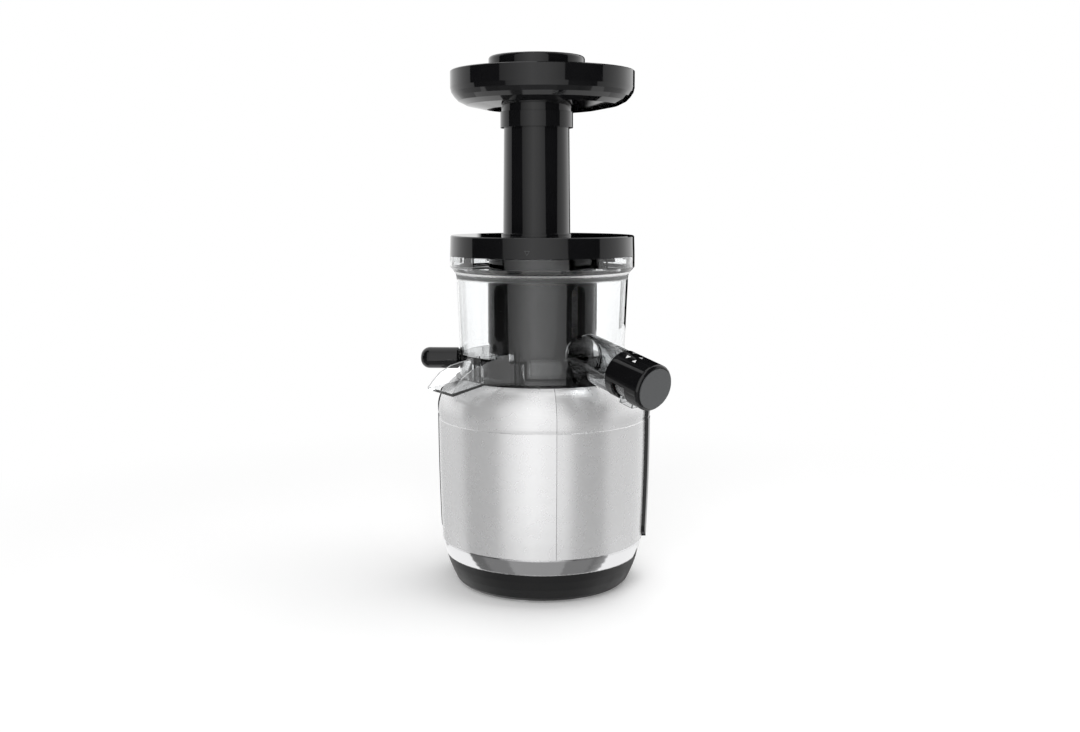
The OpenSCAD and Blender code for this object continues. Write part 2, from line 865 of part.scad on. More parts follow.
module cooling_fan() {
  color("#2a2b2c")
    translate([0, 0, z_fan]) {
      tube(fan_r, motor_shaft_r + run_gap, fan_t);
      tube(fan_hub_r, motor_shaft_r + run_gap, fan_h);
      for (i = [0:fan_blades - 1])
        rotate([0, 0, i * 360 / fan_blades])
          translate([fan_hub_r - fan_t, -fan_t / 2, 0])
            cube([fan_r - fan_hub_r, fan_t, fan_h]);
    }
}

// Bowl: its wall, floor, juice channel, pulp duct, chute and juice tube
rim_h = 8.7;
taper_h = 9.3;
foot_taper_h = 27;
foot_taper = 0.2;
ledge_drop = 12.8;
rim_t = 3.1;
rim_in_r = bowl_rim_r - rim_t;
z_rim_low = z_rim - rim_h;
z_neck = z_rim_low - taper_h;
taper_shares = [[0, 0], [0.1, 0.33], [0.5, 0.66], [1, 1]];
drain_r = 11.5;
drain_in_r = 9.3;
post_gap = 0.2;
planet_c = bowl_m * (sun_n + planet_n) / 2;
planet_azimuth = 54;
planet_pin_r = 3;
gear_lift = 2.2;
planet_h = 6;
z_gears = z_plateau + gear_lift;
duct_wall = 1.6;
duct_clear = 1;
sun_tip_r = bowl_m * (sun_n / 2 + tip_share);
ring_tip_r = bowl_m * (sun_n / 2 + planet_n - tip_share);
port_r0 = sun_tip_r + duct_clear + duct_wall;
port_r1 = ring_tip_r - duct_clear - duct_wall;
sieve_lift = 2;
z_sieve = z_gears + planet_h + sieve_lift;

lug_reach = 1.6;
lug_r = rim_in_r + lug_reach;
lug_h = 3;
lug_half = 5;
lug_azimuths = [-45, 45, 135, 225];
lug_drop = 4.4;
lock_turn = 25;

spout_root_r = 72;
spout_x = 38.5;
spout_rise = 2.7;
z_spout = z_plateau + spout_rise;
barrel_step = 1.6;
barrel_wall = 2;
barrel_r = spout_r - barrel_step;
barrel_in_r = barrel_r - barrel_wall;
cap_start = spout_len - cap_len;
nozzle_t = 14;
nozzle_w = 11;
nozzle_set = 7.1;
nozzle_at = cap_start + nozzle_set;
nozzle_out = 3;
nozzle_wall = 1.5;
cap_wall = 1.9;
cap_r = barrel_r + seat_gap + cap_wall;
tap_travel = 60;

// The frame of the juice tube: +Z runs out along it and +X points down
module at_spout() {
  translate([spout_x, -sqrt(spout_root_r * spout_root_r - spout_x * spout_x), z_spout])
    rotate([0, 0, spout_azimuth - 90])
      rotate([0, 90 + spout_tilt, 0])
        children();
}

// The chute: its plan in the frame of its mouth, and a side outline
chute_front_root = -18.7;
chute_back_root = -53.3;
chute_front_mouth = -45.7;
chute_back_mouth = -72.3;
chute_r = 99.5;
chute_wall = 1.7;
chute_floor_t = 1.8;
chute_drop = 8.5;
chute_h = 36.6;
chute_azimuth = (chute_front_mouth + chute_back_mouth) / 2;
chute_reach = chute_r * cos((chute_back_mouth - chute_front_mouth) / 2);
chute_top_shares = [[0, 1], [0.02, 1], [0.212, 0.9], [0.48, 0.727], [0.715, 0.571], [0.852, 0.4],
                    [0.943, 0.2], [0.976, 0.107], [1, 0.06]];
flat_reach = 1.6;
z_mouth = z_bowl - chute_drop;
function polar(r, a) = [r * cos(a), r * sin(a)];
function unit(v) = v / norm(v);
function left_of(v) = [-v[1], v[0]];
chute_a = polar(bowl_foot_r, chute_front_root - chute_azimuth);
chute_b = polar(chute_r, chute_front_mouth - chute_azimuth);
chute_c = polar(chute_r, chute_back_mouth - chute_azimuth);
chute_d = polar(bowl_foot_r, chute_back_root - chute_azimuth);
chute_ab = unit(chute_b - chute_a);
chute_dc = unit(chute_c - chute_d);
module chute_plan(inset, reach) {
  n1 = -left_of(chute_ab) * inset;
  n2 = left_of(chute_dc) * inset;
  polygon([chute_a - chute_ab * 3 * bowl_wall + n1, chute_b + chute_ab * reach + n1,
           chute_c + chute_dc * reach + n2, chute_d - chute_dc * 3 * bowl_wall + n2]);
}
module side_outline(pts) {
  rotate([90, 0, 0])
    translate([0, 0, -chute_r])
      linear_extrude(height = 2 * chute_r)
        polygon(pts);
}
chute_start = bowl_foot_r * cos(chute_front_root - chute_azimuth) - 2 * bowl_wall;
chute_flat = shoulder_top_r + flat_reach;
chute_under = [[chute_start, z_bowl + step_gap], [chute_flat, z_bowl + step_gap], [chute_reach, z_mouth]];
chute_top = backwards([for (p = chute_top_shares)
  [chute_start + p[0] * (chute_reach - chute_start), z_mouth + p[1] * chute_h]]);
module chute() {
  at_azimuth(chute_azimuth)
    difference() {
      intersection() {
        linear_extrude(height = z_rim)
          chute_plan(0, 0);
        side_outline(concat(chute_under, chute_top));
      }
      intersection() {
        linear_extrude(height = z_rim)
          chute_plan(chute_wall, chute_wall);
        side_outline([[0, z_bowl + chute_floor_t], [chute_flat, z_bowl + chute_floor_t],
                      [chute_reach + over, z_mouth + chute_floor_t],
                      [chute_reach + over, z_rim], [0, z_rim]]);
      }
    }
}
module chute_door() {
  at_azimuth(chute_azimuth)
    translate([0, 0, z_bowl + chute_floor_t + step_gap / 2])
      linear_extrude(height = z_plateau - bowl_wall - z_bowl - chute_floor_t - 1.5 * step_gap)
        chute_plan(chute_wall + step_gap, -chute_r / 4);
}

// The pulp gate runs on a circle between the duct and the wall of the bowl
gate_r = 59.2;
gate_t = 2;
gate_clear = 0.7;
gate_turn = 33;
lever_half_turn = 3;
lever_azimuth = -93;
lever_h = 5;
lever_r = 9;
lever_len = 33;
lever_start = bowl_foot_r + 3 * seat_gap;
arm_margin_turn = 4;
lever_lift = 13.5;
z_lever = z_bowl + lever_lift;
arm_half = asin(lever_h / 2 / gate_r) + 1;

module bowl_wall_solid() {
  rotate_extrude()
    polygon(concat(
      [[bowl_foot_r, z_bowl], [bowl_foot_r + foot_taper, z_bowl + foot_taper_h]],
      [for (p = taper_shares) [bowl_neck_r + (bowl_rim_r - bowl_neck_r) * p[0], z_neck + taper_h * p[1]]],
      [[bowl_rim_r, z_rim], [rim_in_r, z_rim], [rim_in_r, z_rim - ledge_drop],
       [bowl_neck_r - bowl_wall, z_neck], [bowl_foot_r + foot_taper - bowl_wall, z_bowl + foot_taper_h],
       [bowl_foot_r - bowl_wall, z_bowl]]));
}

module floor_solid() {
  wall_mid = bowl_foot_r - bowl_wall / 2;
  translate([0, 0, z_plateau - bowl_wall])
    cylinder(r = riser_r - bowl_wall / 2, h = bowl_wall);
  translate([0, 0, z_plateau - bowl_wall])
    sector(wall_mid, riser_r - bowl_wall, bowl_wall, gate_a0, duct_a1 + arm_margin_turn);
  translate([0, 0, z_channel - bowl_wall])
    sector(wall_mid, riser_r - bowl_wall, bowl_wall, duct_a1 + arm_margin_turn, gate_a0 + 360);
  translate([0, 0, z_channel - bowl_wall / 2])
    sector(riser_r, riser_r - bowl_wall, z_plateau - z_channel,
           duct_a1 + arm_margin_turn, gate_a0 + 360);
  for (a = [gate_a0, duct_a1 + arm_margin_turn])
    at_azimuth(a)
      translate([riser_r - bowl_wall / 2, -bowl_wall / 2, z_channel - bowl_wall + step_gap])
        cube([wall_mid - riser_r + bowl_wall / 2, bowl_wall,
              z_plateau - z_channel + bowl_wall - 2 * step_gap]);
}

module duct_solid() {
  gate_in = gate_r - gate_t / 2 - gate_clear;
  gate_out = gate_r + gate_t / 2 + gate_clear;
  wall_mid = bowl_foot_r - bowl_wall / 2;
  translate([0, 0, z_bowl + 2 * step_gap])
    sector(wall_mid, port_r0 - step_gap, chute_floor_t - step_gap, duct_a0, duct_a1);
  for (a = [duct_a0, duct_a1])
    at_azimuth(a)
      translate([0, -duct_wall / 2, z_bowl]) {
        translate([port_r0 - duct_wall / 2, 0, 0])
          cube([gate_in - port_r0 + duct_wall / 2, duct_wall, plateau_h - bowl_wall / 2]);
        translate([gate_out, 0, 0])
          cube([wall_mid - gate_out, duct_wall, plateau_h - bowl_wall / 2]);
      }
  translate([0, 0, z_bowl])
    sector(port_r0, port_r0 - duct_wall, plateau_h - bowl_wall / 2, duct_a0, duct_a1);
  translate([0, 0, z_plateau - bowl_wall / 2])
    sector(port_r1 + duct_wall, port_r0 - duct_wall, z_sieve - z_plateau + bowl_wall / 2 - seat_gap,
           duct_a0, duct_a1);
}

module bayonet_slots() {
  for (a = lug_azimuths) {
    translate([0, 0, z_rim - lug_drop - lug_h - 1.5 * slide_gap])
      sector(lug_r + 1.5 * slide_gap, rim_in_r - 2 * over, lug_drop + lug_h + 2 * over,
             front_azimuth + a - lug_half - 1, front_azimuth + a + lug_half + 1.5);
    translate([0, 0, z_rim - lug_drop - lug_h - slide_gap])
      sector(lug_r + slide_gap, rim_in_r - over, lug_h + 2 * slide_gap,
             front_azimuth + a - lug_half - 1 - lock_turn, front_azimuth + a + lug_half + 1);
  }
}

module juice_bowl() {
  color([0.85, 0.88, 0.9, 0.35])
    difference() {
      union() {
        difference() {
          union() {
            bowl_wall_solid();
            chute();
            at_spout() {
              translate([0, 0, -spout_r])
                cylinder(r = spout_r, h = cap_start + spout_r - seat_gap);
              translate([0, 0, -spout_r])
                cylinder(r = barrel_r, h = spout_len + spout_r - cap_wall - 2 * seat_gap);
              translate([spout_r - nozzle_out, -nozzle_w / 2, nozzle_at])
                translate([-nozzle_out, 0, 0])
                  cube([3 * nozzle_out, nozzle_w, nozzle_t]);
            }
          }
          translate([0, 0, z_bowl - over])
            cylinder(r = bowl_foot_r - bowl_wall - step_gap, h = z_neck - z_bowl);
          chute_door();
        }
        floor_solid();
        duct_solid();
        translate([0, 0, z_plateau - bowl_wall])
          cylinder(r = drain_r, h = boss_h + bowl_wall - 4 * seat_gap);
        for (s = [0, 180])
          at_azimuth(planet_azimuth + s)
            translate([planet_c, 0, z_plateau - bowl_wall / 2]) {
              cylinder(r = planet_pin_r, h = z_gears + planet_h - z_plateau + bowl_wall);
              cylinder(r = planet_pin_r + duct_wall, h = z_gears - z_plateau + bowl_wall / 2 - slide_gap);
            }
      }
      translate([0, 0, z_bowl - over])
        cylinder(r = drain_in_r, h = bowl_h);
      at_spout() {
        translate([0, 0, -spout_r - over])
          cylinder(r = barrel_in_r, h = spout_len + spout_r);
        translate([0, -nozzle_w / 2 + nozzle_wall, nozzle_at + nozzle_wall])
          cube([2 * spout_r, nozzle_w - 2 * nozzle_wall, nozzle_t - 2 * nozzle_wall]);
      }
      translate([0, 0, z_bowl + chute_floor_t + over])
        sector(port_r1, port_r0, z_rim, duct_a0 + port_turn, duct_a1 - port_turn);
      translate([0, 0, z_lever - lever_h / 2 - gate_clear])
        sector(bowl_foot_r + over, gate_r, lever_h + 2 * gate_clear,
               lever_azimuth - gate_turn - arm_half, lever_azimuth + arm_half);
      bayonet_slots();
    }
}

module bowl_seal() {
  color("#3a3c3e")
    translate([0, 0, z_plateau + seat_gap])
      tube(drain_in_r - run_gap, drive_r + seat_gap, boss_h * 0.6);
}

// Juicing set
sieve_wall = 2.5;
sieve_floor = 2;
sieve_hole_r = sun_tip_r + 2 * slide_gap;
sieve_flange_r = 45;
sieve_drop = 15;
z_sieve_top = z_rim - sieve_drop;
window_n = 8;
window_turn = 16;
mesh_t = 0.5;
module strainer_frame() {
  color("#222325")
    difference() {
      union() {
        translate([0, 0, z_sieve])
          cylinder(r = strainer_r, h = z_sieve_top - z_sieve);
        translate([0, 0, z_sieve_top - sieve_floor])
          cylinder(r = sieve_flange_r, h = sieve_floor);
      }
      translate([0, 0, z_sieve + sieve_floor])
        cylinder(r = strainer_r - sieve_wall, h = z_rim);
      translate([0, 0, z_sieve - over])
        cylinder(r = sieve_hole_r, h = z_rim);
      translate([0, 0, z_sieve - over])
        sector(port_r1, port_r0, sieve_floor + 2 * over, duct_a0 + port_turn, duct_a1 - port_turn);
      for (i = [0:window_n - 1])
        translate([0, 0, z_sieve + 2 * sieve_floor])
          sector(strainer_r + over, strainer_r - 2 * sieve_wall, z_sieve_top - z_sieve - 5 * sieve_floor,
                 i * 360 / window_n - window_turn, i * 360 / window_n + window_turn);
    }
}

module strainer_mesh() {
  color("#b4b7ba")
    translate([0, 0, z_sieve + sieve_floor + run_gap])
      tube(strainer_r - sieve_wall - run_gap, strainer_r - sieve_wall - mesh_t,
           z_sieve_top - z_sieve - 2 * sieve_floor);
}

planet_turn = 180 + planet_azimuth - 90 - (0.5 - (planet_azimuth - 90) * sun_n / 360) * 360 / planet_n;
planet_phase = (planet_azimuth - 90 - planet_turn) * planet_n / 360;
ring_n = sun_n + 2 * planet_n;
ring_turn = planet_azimuth - 90 - planet_phase * 360 / ring_n;
module planet(s) {
  rotate([0, 0, s])
    at_azimuth(planet_azimuth)
      translate([planet_c, 0, z_gears])
        rotate([0, 0, planet_turn - planet_azimuth + 90])
          difference() {
            linear_extrude(height = planet_h)
              gear_outline(bowl_m, planet_n);
            translate([0, 0, -over])
              cylinder(r = planet_pin_r + run_gap, h = planet_h + 2 * over);
          }
}

module brush_gears_front() {
  color("#e8e6df")
    planet(0);
}

module brush_gears_rear() {
  color("#e8e6df")
    planet(180);
}

brush_in_r = 42.4;
brush_ring_h = 7;
brush_window_n = 4;
brush_window_turn = 9;
brush_window_azimuth = -50;
brush_window_round = brush_r * sin(brush_window_turn) - step_gap;
blade_t = 1.6;
z_brush_top = z_rim - brush_drop;
module brush_frame() {
  color("#1a1b1c")
    difference() {
      union() {
        translate([0, 0, z_plateau + seat_gap])
          cylinder(r = brush_r - blade_t / 2, h = z_gears - z_plateau + planet_h + brush_ring_h * 0.2);
        translate([0, 0, z_gears + planet_h])
          cylinder(r = brush_r, h = z_brush_top - z_gears - planet_h);
      }
      translate([0, 0, z_plateau])
        linear_extrude(height = z_gears + planet_h - z_plateau + over)
          rotate(ring_turn)
            internal_outline(bowl_m, ring_n);
      translate([0, 0, z_gears + planet_h])
        cylinder(r = brush_in_r, h = z_rim);
      for (i = [0:brush_window_n - 1])
        at_azimuth(brush_window_azimuth + i * 360 / brush_window_n)
          translate([brush_in_r - brush_r / 4, 0, (z_gears + planet_h + z_brush_top) / 2])
            rotate([90, 0, 90])
              linear_extrude(height = brush_r / 2)
                round_rect(2 * brush_r * sin(brush_window_turn),
                           z_brush_top - z_gears - planet_h - brush_ring_h, brush_window_round);
    }
}

module wiper_blades() {
  color("#5a5d60")
    for (i = [0:2:brush_window_n - 1])
      at_azimuth(brush_window_azimuth + (i + 0.5) * 360 / brush_window_n)
        translate([strainer_r + 2 * seat_gap, -blade_t / 2, z_sieve + seat_gap])
          cube([brush_in_r - strainer_r - 2 * seat_gap - run_gap, blade_t,
                z_brush_top - z_sieve - brush_ring_h]);
}

// Auger: a tapering core with a rising flight
core_r0 = 27;
core_r1 = 13;
socket_r = 10.4;
socket_h = 17;
flight_turns = 1.75;
flight_tip_share = 0.035;
flight_root_share = 0.075;
flight_top_share = 0.9;
flight_slices = 40;
core_points = 24;
journal_r = sun_tip_r + slide_gap;
pin_r = 3.2;
cavity_r = drain_r + 2 * slide_gap;
z_auger = z_sieve + sieve_floor + 2 * seat_gap;
z_auger_top = z_rim - auger_drop;
auger_h = z_auger_top - z_auger;

// The screw is one closed mesh. Its rings turn with the flight, whose tip is points 1 and 2 of each ring.
screw_shares = concat(
  [-flight_root_share, -flight_tip_share, flight_tip_share, flight_root_share],
  [for (i = [1:core_points - 1]) flight_root_share + (1 - 2 * flight_root_share) * i / core_points]);
screw_n = len(screw_shares);
function screw_r(t, j) =
  j == 1 || j == 2 ? auger_r * (1 + (flight_top_share - 1) * t) : core_r0 + (core_r1 - core_r0) * t;
screw_points = [for (k = [0:flight_slices], j = [0:screw_n - 1])
  let (t = k / flight_slices, a = 360 * (screw_shares[j] - flight_turns * t), r = screw_r(t, j))
  [r * cos(a), r * sin(a), z_auger + auger_h * t]];
screw_faces = concat(
  [[for (j = [0:screw_n - 1]) j]],
  [[for (j = [screw_n - 1:-1:0]) flight_slices * screw_n + j]],
  [for (k = [0:flight_slices - 1], j = [0:screw_n - 1])
    let (a = k * screw_n + j, b = k * screw_n + (j + 1) % screw_n) [a, b + screw_n, b]],
  [for (k = [0:flight_slices - 1], j = [0:screw_n - 1])
    let (a = k * screw_n + j, b = k * screw_n + (j + 1) % screw_n) [a, a + screw_n, b + screw_n]]);

module auger() {
  color("#c9bfa8")
    difference() {
      union() {
        translate([0, 0, z_gears])
          linear_extrude(height = planet_h + 3 * step_gap)
            gear_outline(bowl_m, sun_n);
        translate([0, 0, z_gears + planet_h + step_gap])
          cylinder(r = journal_r, h = z_auger - z_gears - planet_h + step_gap);
        polyhedron(points = screw_points, faces = screw_faces);
        translate([0, 0, z_auger_top - over / 2])
          cylinder(r1 = core_r1 - over, r2 = pin_r + over, h = z_boss - seat_gap - z_auger_top + over / 2);
        translate([0, 0, z_auger_top])
          cylinder(r = pin_r, h = z_boss + boss_drop / 2 - z_auger_top);
      }
      translate([0, 0, z_gears - over])
        cylinder(r = cavity_r, h = z_hex - z_gears + over);
      translate([0, 0, z_hex - over / 2])
        cylinder(r = socket_r + run_gap, h = socket_h + over);
    }
}

module auger_socket() {
  color("#9fa3a7")
    translate([0, 0, z_hex])
      difference() {
        cylinder(r = socket_r, h = socket_h);
        translate([0, 0, -over])
          cylinder(r = (hex_af + seat_gap) / sqrt(3), h = hex_h + over + seat_gap, $fn = 6);
      }
}

// Pulp gate and its lever
module pulp_gate() {
  color("#1a1a1b") {
    translate([0, 0, z_bowl + chute_floor_t + slide_gap])
      sector(gate_r + gate_t / 2, gate_r - gate_t / 2,
             plateau_h - bowl_wall - chute_floor_t - 2 * slide_gap,
             duct_a0 + port_turn, duct_a1 - port_turn);
    translate([0, 0, z_lever - lever_h / 2])
      sector(gate_r + gate_t / 2, gate_r - gate_t / 2, lever_h,
             lever_azimuth - lever_half_turn, duct_a0 + port_turn + 1);
    at_azimuth(lever_azimuth)
      translate([gate_r, -lever_h / 2, z_lever - lever_h / 2])
        cube([lever_start + lever_len * 0.7 - gate_r, lever_h, lever_h]);
  }
}

lever_end_r = 7.5;
lever_root_r = 1.5;
module lever_grip() {
  color("#101112")
    at_azimuth(lever_azimuth)
      translate([lever_start, 0, z_lever])
        difference() {
          rotate([0, 90, 0])
            rotate_extrude()
              polygon(concat(
                [[0, 0], [lever_r - lever_root_r, 0], [lever_r, lever_root_r]],
                arc(lever_r - lever_end_r, lever_len - lever_end_r, lever_end_r, 0, 90, 8),
                [[0, lever_len]]));
          translate([-over, -lever_h / 2 - run_gap, -lever_h / 2 - run_gap])
            cube([lever_len * 0.7 + over + run_gap,
                  lever_h + 2 * run_gap, lever_h + 2 * run_gap]);
        }
}

// Tap: a cap that turns on the juice tube and carries a plug with a side window
disc_t = 1;
cap_round = 2.6;
plug_r = barrel_in_r - post_gap;
plug_wall = 2.4;
plug_reach = 3;
plug_start = cap_start - plug_reach;
seal_r = 0.8;
module tap_cap() {
  color("#121314")
    at_spout()
      difference() {
        rotate_extrude()
          polygon(concat([[0, cap_start], [cap_r, cap_start]],
                         arc(cap_r - cap_round, spout_len - cap_round, cap_round, 0, 90, 6),
                         [[0, spout_len]]));
        translate([0, 0, cap_start - over])
          cylinder(r = barrel_r + seat_gap, h = cap_len - cap_wall + over);
        translate([0, 0, nozzle_at - slide_gap])
          rotate([0, 0, -tap_travel - asin((nozzle_w / 2 + slide_gap) / barrel_r)])
            rotate_extrude(angle = tap_travel + 2 * asin((nozzle_w / 2 + slide_gap) / barrel_r))
              translate([barrel_r / 2, 0])
                square([cap_r, nozzle_t + 2 * slide_gap]);
        translate([0, 0, spout_len - cap_wall - over])
          cylinder(r = plug_r / 2, h = cap_wall + 2 * over);
      }
}

module tap_plug() {
  color("#2c2d2f")
    at_spout()
      difference() {
        union() {
          translate([0, 0, plug_start])
            cylinder(r = plug_r, h = spout_len - cap_wall - run_gap - plug_start);
          translate([0, 0, spout_len - cap_wall - over])
            cylinder(r = plug_r / 2 - run_gap, h = cap_wall + over - run_gap);
        }
        translate([0, 0, plug_start - over])
          cylinder(r = plug_r - plug_wall, h = spout_len - 2 * cap_wall - plug_start);
        rotate([0, 0, -tap_travel])
          translate([0, -nozzle_w / 2 + nozzle_wall, nozzle_at + nozzle_wall])
            cube([2 * plug_r, nozzle_w - 2 * nozzle_wall, nozzle_t - 2 * nozzle_wall]);
        for (t = [nozzle_at - 3 * seal_r, nozzle_at + nozzle_t + 3 * seal_r])
          translate([0, 0, t - seal_r - run_gap])
            tube(plug_r + over, barrel_in_r - 2 * seal_r, 2 * seal_r + 2 * run_gap);
      }
}

module tap_end_disc() {
  color("#5b5e60")
    at_spout()
      translate([0, 0, spout_len + run_gap])
        cylinder(r = cap_r - cap_round, h = disc_t);
}

module tap_seals() {
  color("#7b2f22")
    at_spout()
      for (t = [nozzle_at - 3 * seal_r, nozzle_at + nozzle_t + 3 * seal_r])
        translate([0, 0, t])
          rotate_extrude()
            translate([barrel_in_r - seal_r, 0])
              circle(r = seal_r - run_gap, $fn = 24);
}

// Lid with its feed tube
lid_wall = 2.6;
plate_t = 2.6;
foot_ring_h = 2.4;
collar_wall = 3;
collar_in_r = sieve_flange_r - collar_wall;
bush_out_r = 5.2;
boss_r = 8;
boss_drop = 17;
throat_h = 9;
z_boss = z_lid_top - plate_t / 2 - boss_drop;
z_throat = z_lid_top - plate_t - throat_h;
module at_tube() {
  translate([-tube_x, -tube_y, 0])
    children();
}

module lid_seal() {
  color("#3b3d40")
    translate([0, 0, z_sieve_top + seat_gap])
      tube(sieve_flange_r, collar_in_r, 2 * sieve_floor);
}

z_collar = z_sieve_top + 2 * sieve_floor + 2 * seat_gap;
module lid() {
  color("#17181a")
    difference() {
      union() {
        difference() {
          union() {
            rotate_extrude()
              polygon([[0, z_lid], [bowl_rim_r, z_lid], [lid_r, z_lid_top - plate_t / 3],
                       [lid_r - plate_t / 3, z_lid_top], [0, z_lid_top]]);
            at_tube() {
              translate([0, 0, z_lid_top - plate_t / 2])
                cylinder(r = tube_r + plate_t / 2, h = foot_ring_h + plate_t / 2);
              translate([0, 0, z_lid_top - plate_t / 2])
                cylinder(r1 = tube_r, r2 = tube_top_r, h = tube_h + plate_t / 2);
            }
          }
          translate([0, 0, z_lid - over])
            cylinder(r = rim_in_r - seat_gap - lid_wall, h = lid_h - plate_t + over);
          at_tube()
            translate([0, 0, z_lid])
              cylinder(r = tube_top_r - tube_wall, h = tube_h + lid_h + over);
        }
        translate([0, 0, z_collar])
          difference() {
            cylinder(r = sieve_flange_r, h = z_lid_top - z_collar - plate_t / 2);
            translate([0, 0, -over])
              cylinder(r = collar_in_r, h = lid_h * 3);
            translate([0, 0, z_throat + lid_wall - z_collar])
              at_tube()
                cylinder(r = tube_top_r - tube_wall, h = lid_h);
          }
        difference() {
          at_tube()
            translate([0, 0, z_throat])
              cylinder(r = tube_top_r, h = throat_h + plate_t / 2);
          at_tube()
            translate([0, 0, z_throat + lid_wall])
              cylinder(r = tube_top_r - tube_wall, h = lid_h);
          translate([0, 0, z_throat - over])
            cylinder(r = collar_in_r, h = lid_h);
        }
        translate([0, 0, z_boss])
          cylinder(r = boss_r, h = boss_drop);
        for (a = lug_azimuths)
          translate([0, 0, z_rim - lug_drop - lug_h]) {
            sector(rim_in_r - seat_gap, rim_in_r - seat_gap - lid_wall, lug_drop + lug_h + over,
                   front_azimuth + a - lug_half, front_azimuth + a + lug_half);
            sector(lug_r, rim_in_r - seat_gap - lid_wall, lug_h,
                   front_azimuth + a - lug_half, front_azimuth + a + lug_half);
          }
      }
      translate([0, 0, z_collar - over])
        cylinder(r = bush_out_r + run_gap, h = z_lid_top - plate_t - z_collar + over);
    }
}

module auger_bush() {
  color("#d6d2c4")
    translate([0, 0, z_boss])
      tube(bush_out_r, pin_r + run_gap, boss_drop - 2 * plate_t);
}

// Feed tray and pusher
socket_in_r = 26.8;
neck_r = 28.2;
collar_r = 29.2;
collar_h = 12.4;
neck_h = 11;
neck_rise = 8;
z_neck_low = z_tray + neck_rise - neck_h - collar_h;
tray_hole_r = tube_top_r - tube_wall + seat_gap;
tray_out_shares = [[0, 0.02], [0.46, 0], [0.6, 0.035], [0.826, 0.14], [0.913, 0.24], [0.957, 0.345],
                   [0.988, 0.455], [1, 0.57], [1, 0.98]];
tray_in_shares = [[1, 0.98], [1, 0.57], [0.98, 0.45], [0.945, 0.345], [0.89, 0.25], [0.82, 0.18], [0, 0.15]];
tray_seat_r = 31;
tray_seat_h = 2.2;
module feed_tray() {
  color("#161719")
    difference() {
      union() {
        rotate_extrude()
          polygon(concat(
            [for (p = tray_out_shares) [p[0] * tray_r, z_tray + p[1] * tray_h]],
            [[tray_r - tray_wall * 0.3, z_tray_rim], [tray_r - tray_wall * 0.7, z_tray_rim]],
            [for (p = tray_in_shares) [p[0] * (tray_r - tray_wall), z_tray + p[1] * tray_h]]));
        at_tube() {
          translate([0, 0, z_neck_low])
            cylinder(r = collar_r, h = collar_h);
          translate([0, 0, z_neck_low])
            cylinder(r = neck_r, h = z_seat - step_gap - z_neck_low);
          translate([0, 0, z_tray + tray_h * 0.1])
            cylinder(r = tray_seat_r, h = tray_h * 0.05 + tray_seat_h);
        }
      }
      at_tube() {
        translate([0, 0, z_neck_low - over])
          cylinder(r = socket_in_r, h = z_tube_top + seat_gap - z_neck_low + over);
        translate([0, 0, z_neck_low - over])
          cylinder(r = tray_hole_r, h = tray_h + neck_h + collar_h);
      }
    }
}

z_seat = z_tray + tray_h * 0.15 + tray_seat_h;
z_pusher_top = z_tray_rim + pusher_rise;
head_h = 22;
stem_r = tube_top_r - tube_wall - 2 * slide_gap;
stem_wall = 2.4;
head_wall = 3;
head_round = 2.5;
module pusher() {
  color("#131415")
    at_tube()
      difference() {
        union() {
          translate([0, 0, z_pusher_top - head_h])
            rotate_extrude()
              polygon(concat(
                [[0, 0], [pusher_r - head_round, 0], [pusher_r, head_round]],
                arc(pusher_r - head_round, head_h - head_round, head_round, 0, 90, 6),
                [[0, head_h]]));
          translate([0, 0, z_seat + seat_gap])
            cylinder(r = tray_seat_r - seat_gap, h = z_pusher_top - head_h - z_seat);
          translate([0, 0, z_seat - stem_len])
            cylinder(r = stem_r, h = stem_len + head_h / 2);
        }
        translate([0, 0, z_seat - stem_len - over])
          cylinder(r = stem_r - stem_wall, h = z_pusher_top - head_wall - z_seat + stem_len + over);
        translate([0, 0, z_pusher_top - head_h + head_wall])
          cylinder(r = pusher_r - head_wall, h = head_h - 2 * head_wall);
      }
}

bottom_cover();
rubber_feet();
trim_ring();
left_shell();
right_shell();
left_grip();
right_grip();
top_deck();
cover_screws();
cord_gland();
switch_housing();
power_rocker();
control_board();
motor_isolators();
lower_bell();
stator_core();
stator_windings();
upper_bell();
motor_bearings();
motor_shaft();
rotor_core();
cooling_fan();
gearbox_housing();
gearbox_cover();
gearbox_screws();
step_gear_pin();
step_gear();
output_gear();
drive_shaft();
shaft_bushes();
juice_bowl();
bowl_seal();
strainer_frame();
strainer_mesh();
brush_gears_front();
brush_gears_rear();
brush_frame();
wiper_blades();
auger();
auger_socket();
pulp_gate();
lever_grip();
tap_cap();
tap_plug();
tap_end_disc();
tap_seals();
lid_seal();
lid();
auger_bush();
feed_tray();
pusher();
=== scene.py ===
# %% [markdown]
# # A slow juicer in the studio
# A slow juicer is a motor base, a clear bowl on top of it, and a lid with a tall feed tube.
# The hard shapes come from a CAD model that is already packed, and this notebook only dresses
# them: it gives each one its finish, adds the small parts that the eye looks for, and lights
# them on a pale floor. Everything is in metres and in the frame of the CAD model.

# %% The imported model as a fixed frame
import json
import math

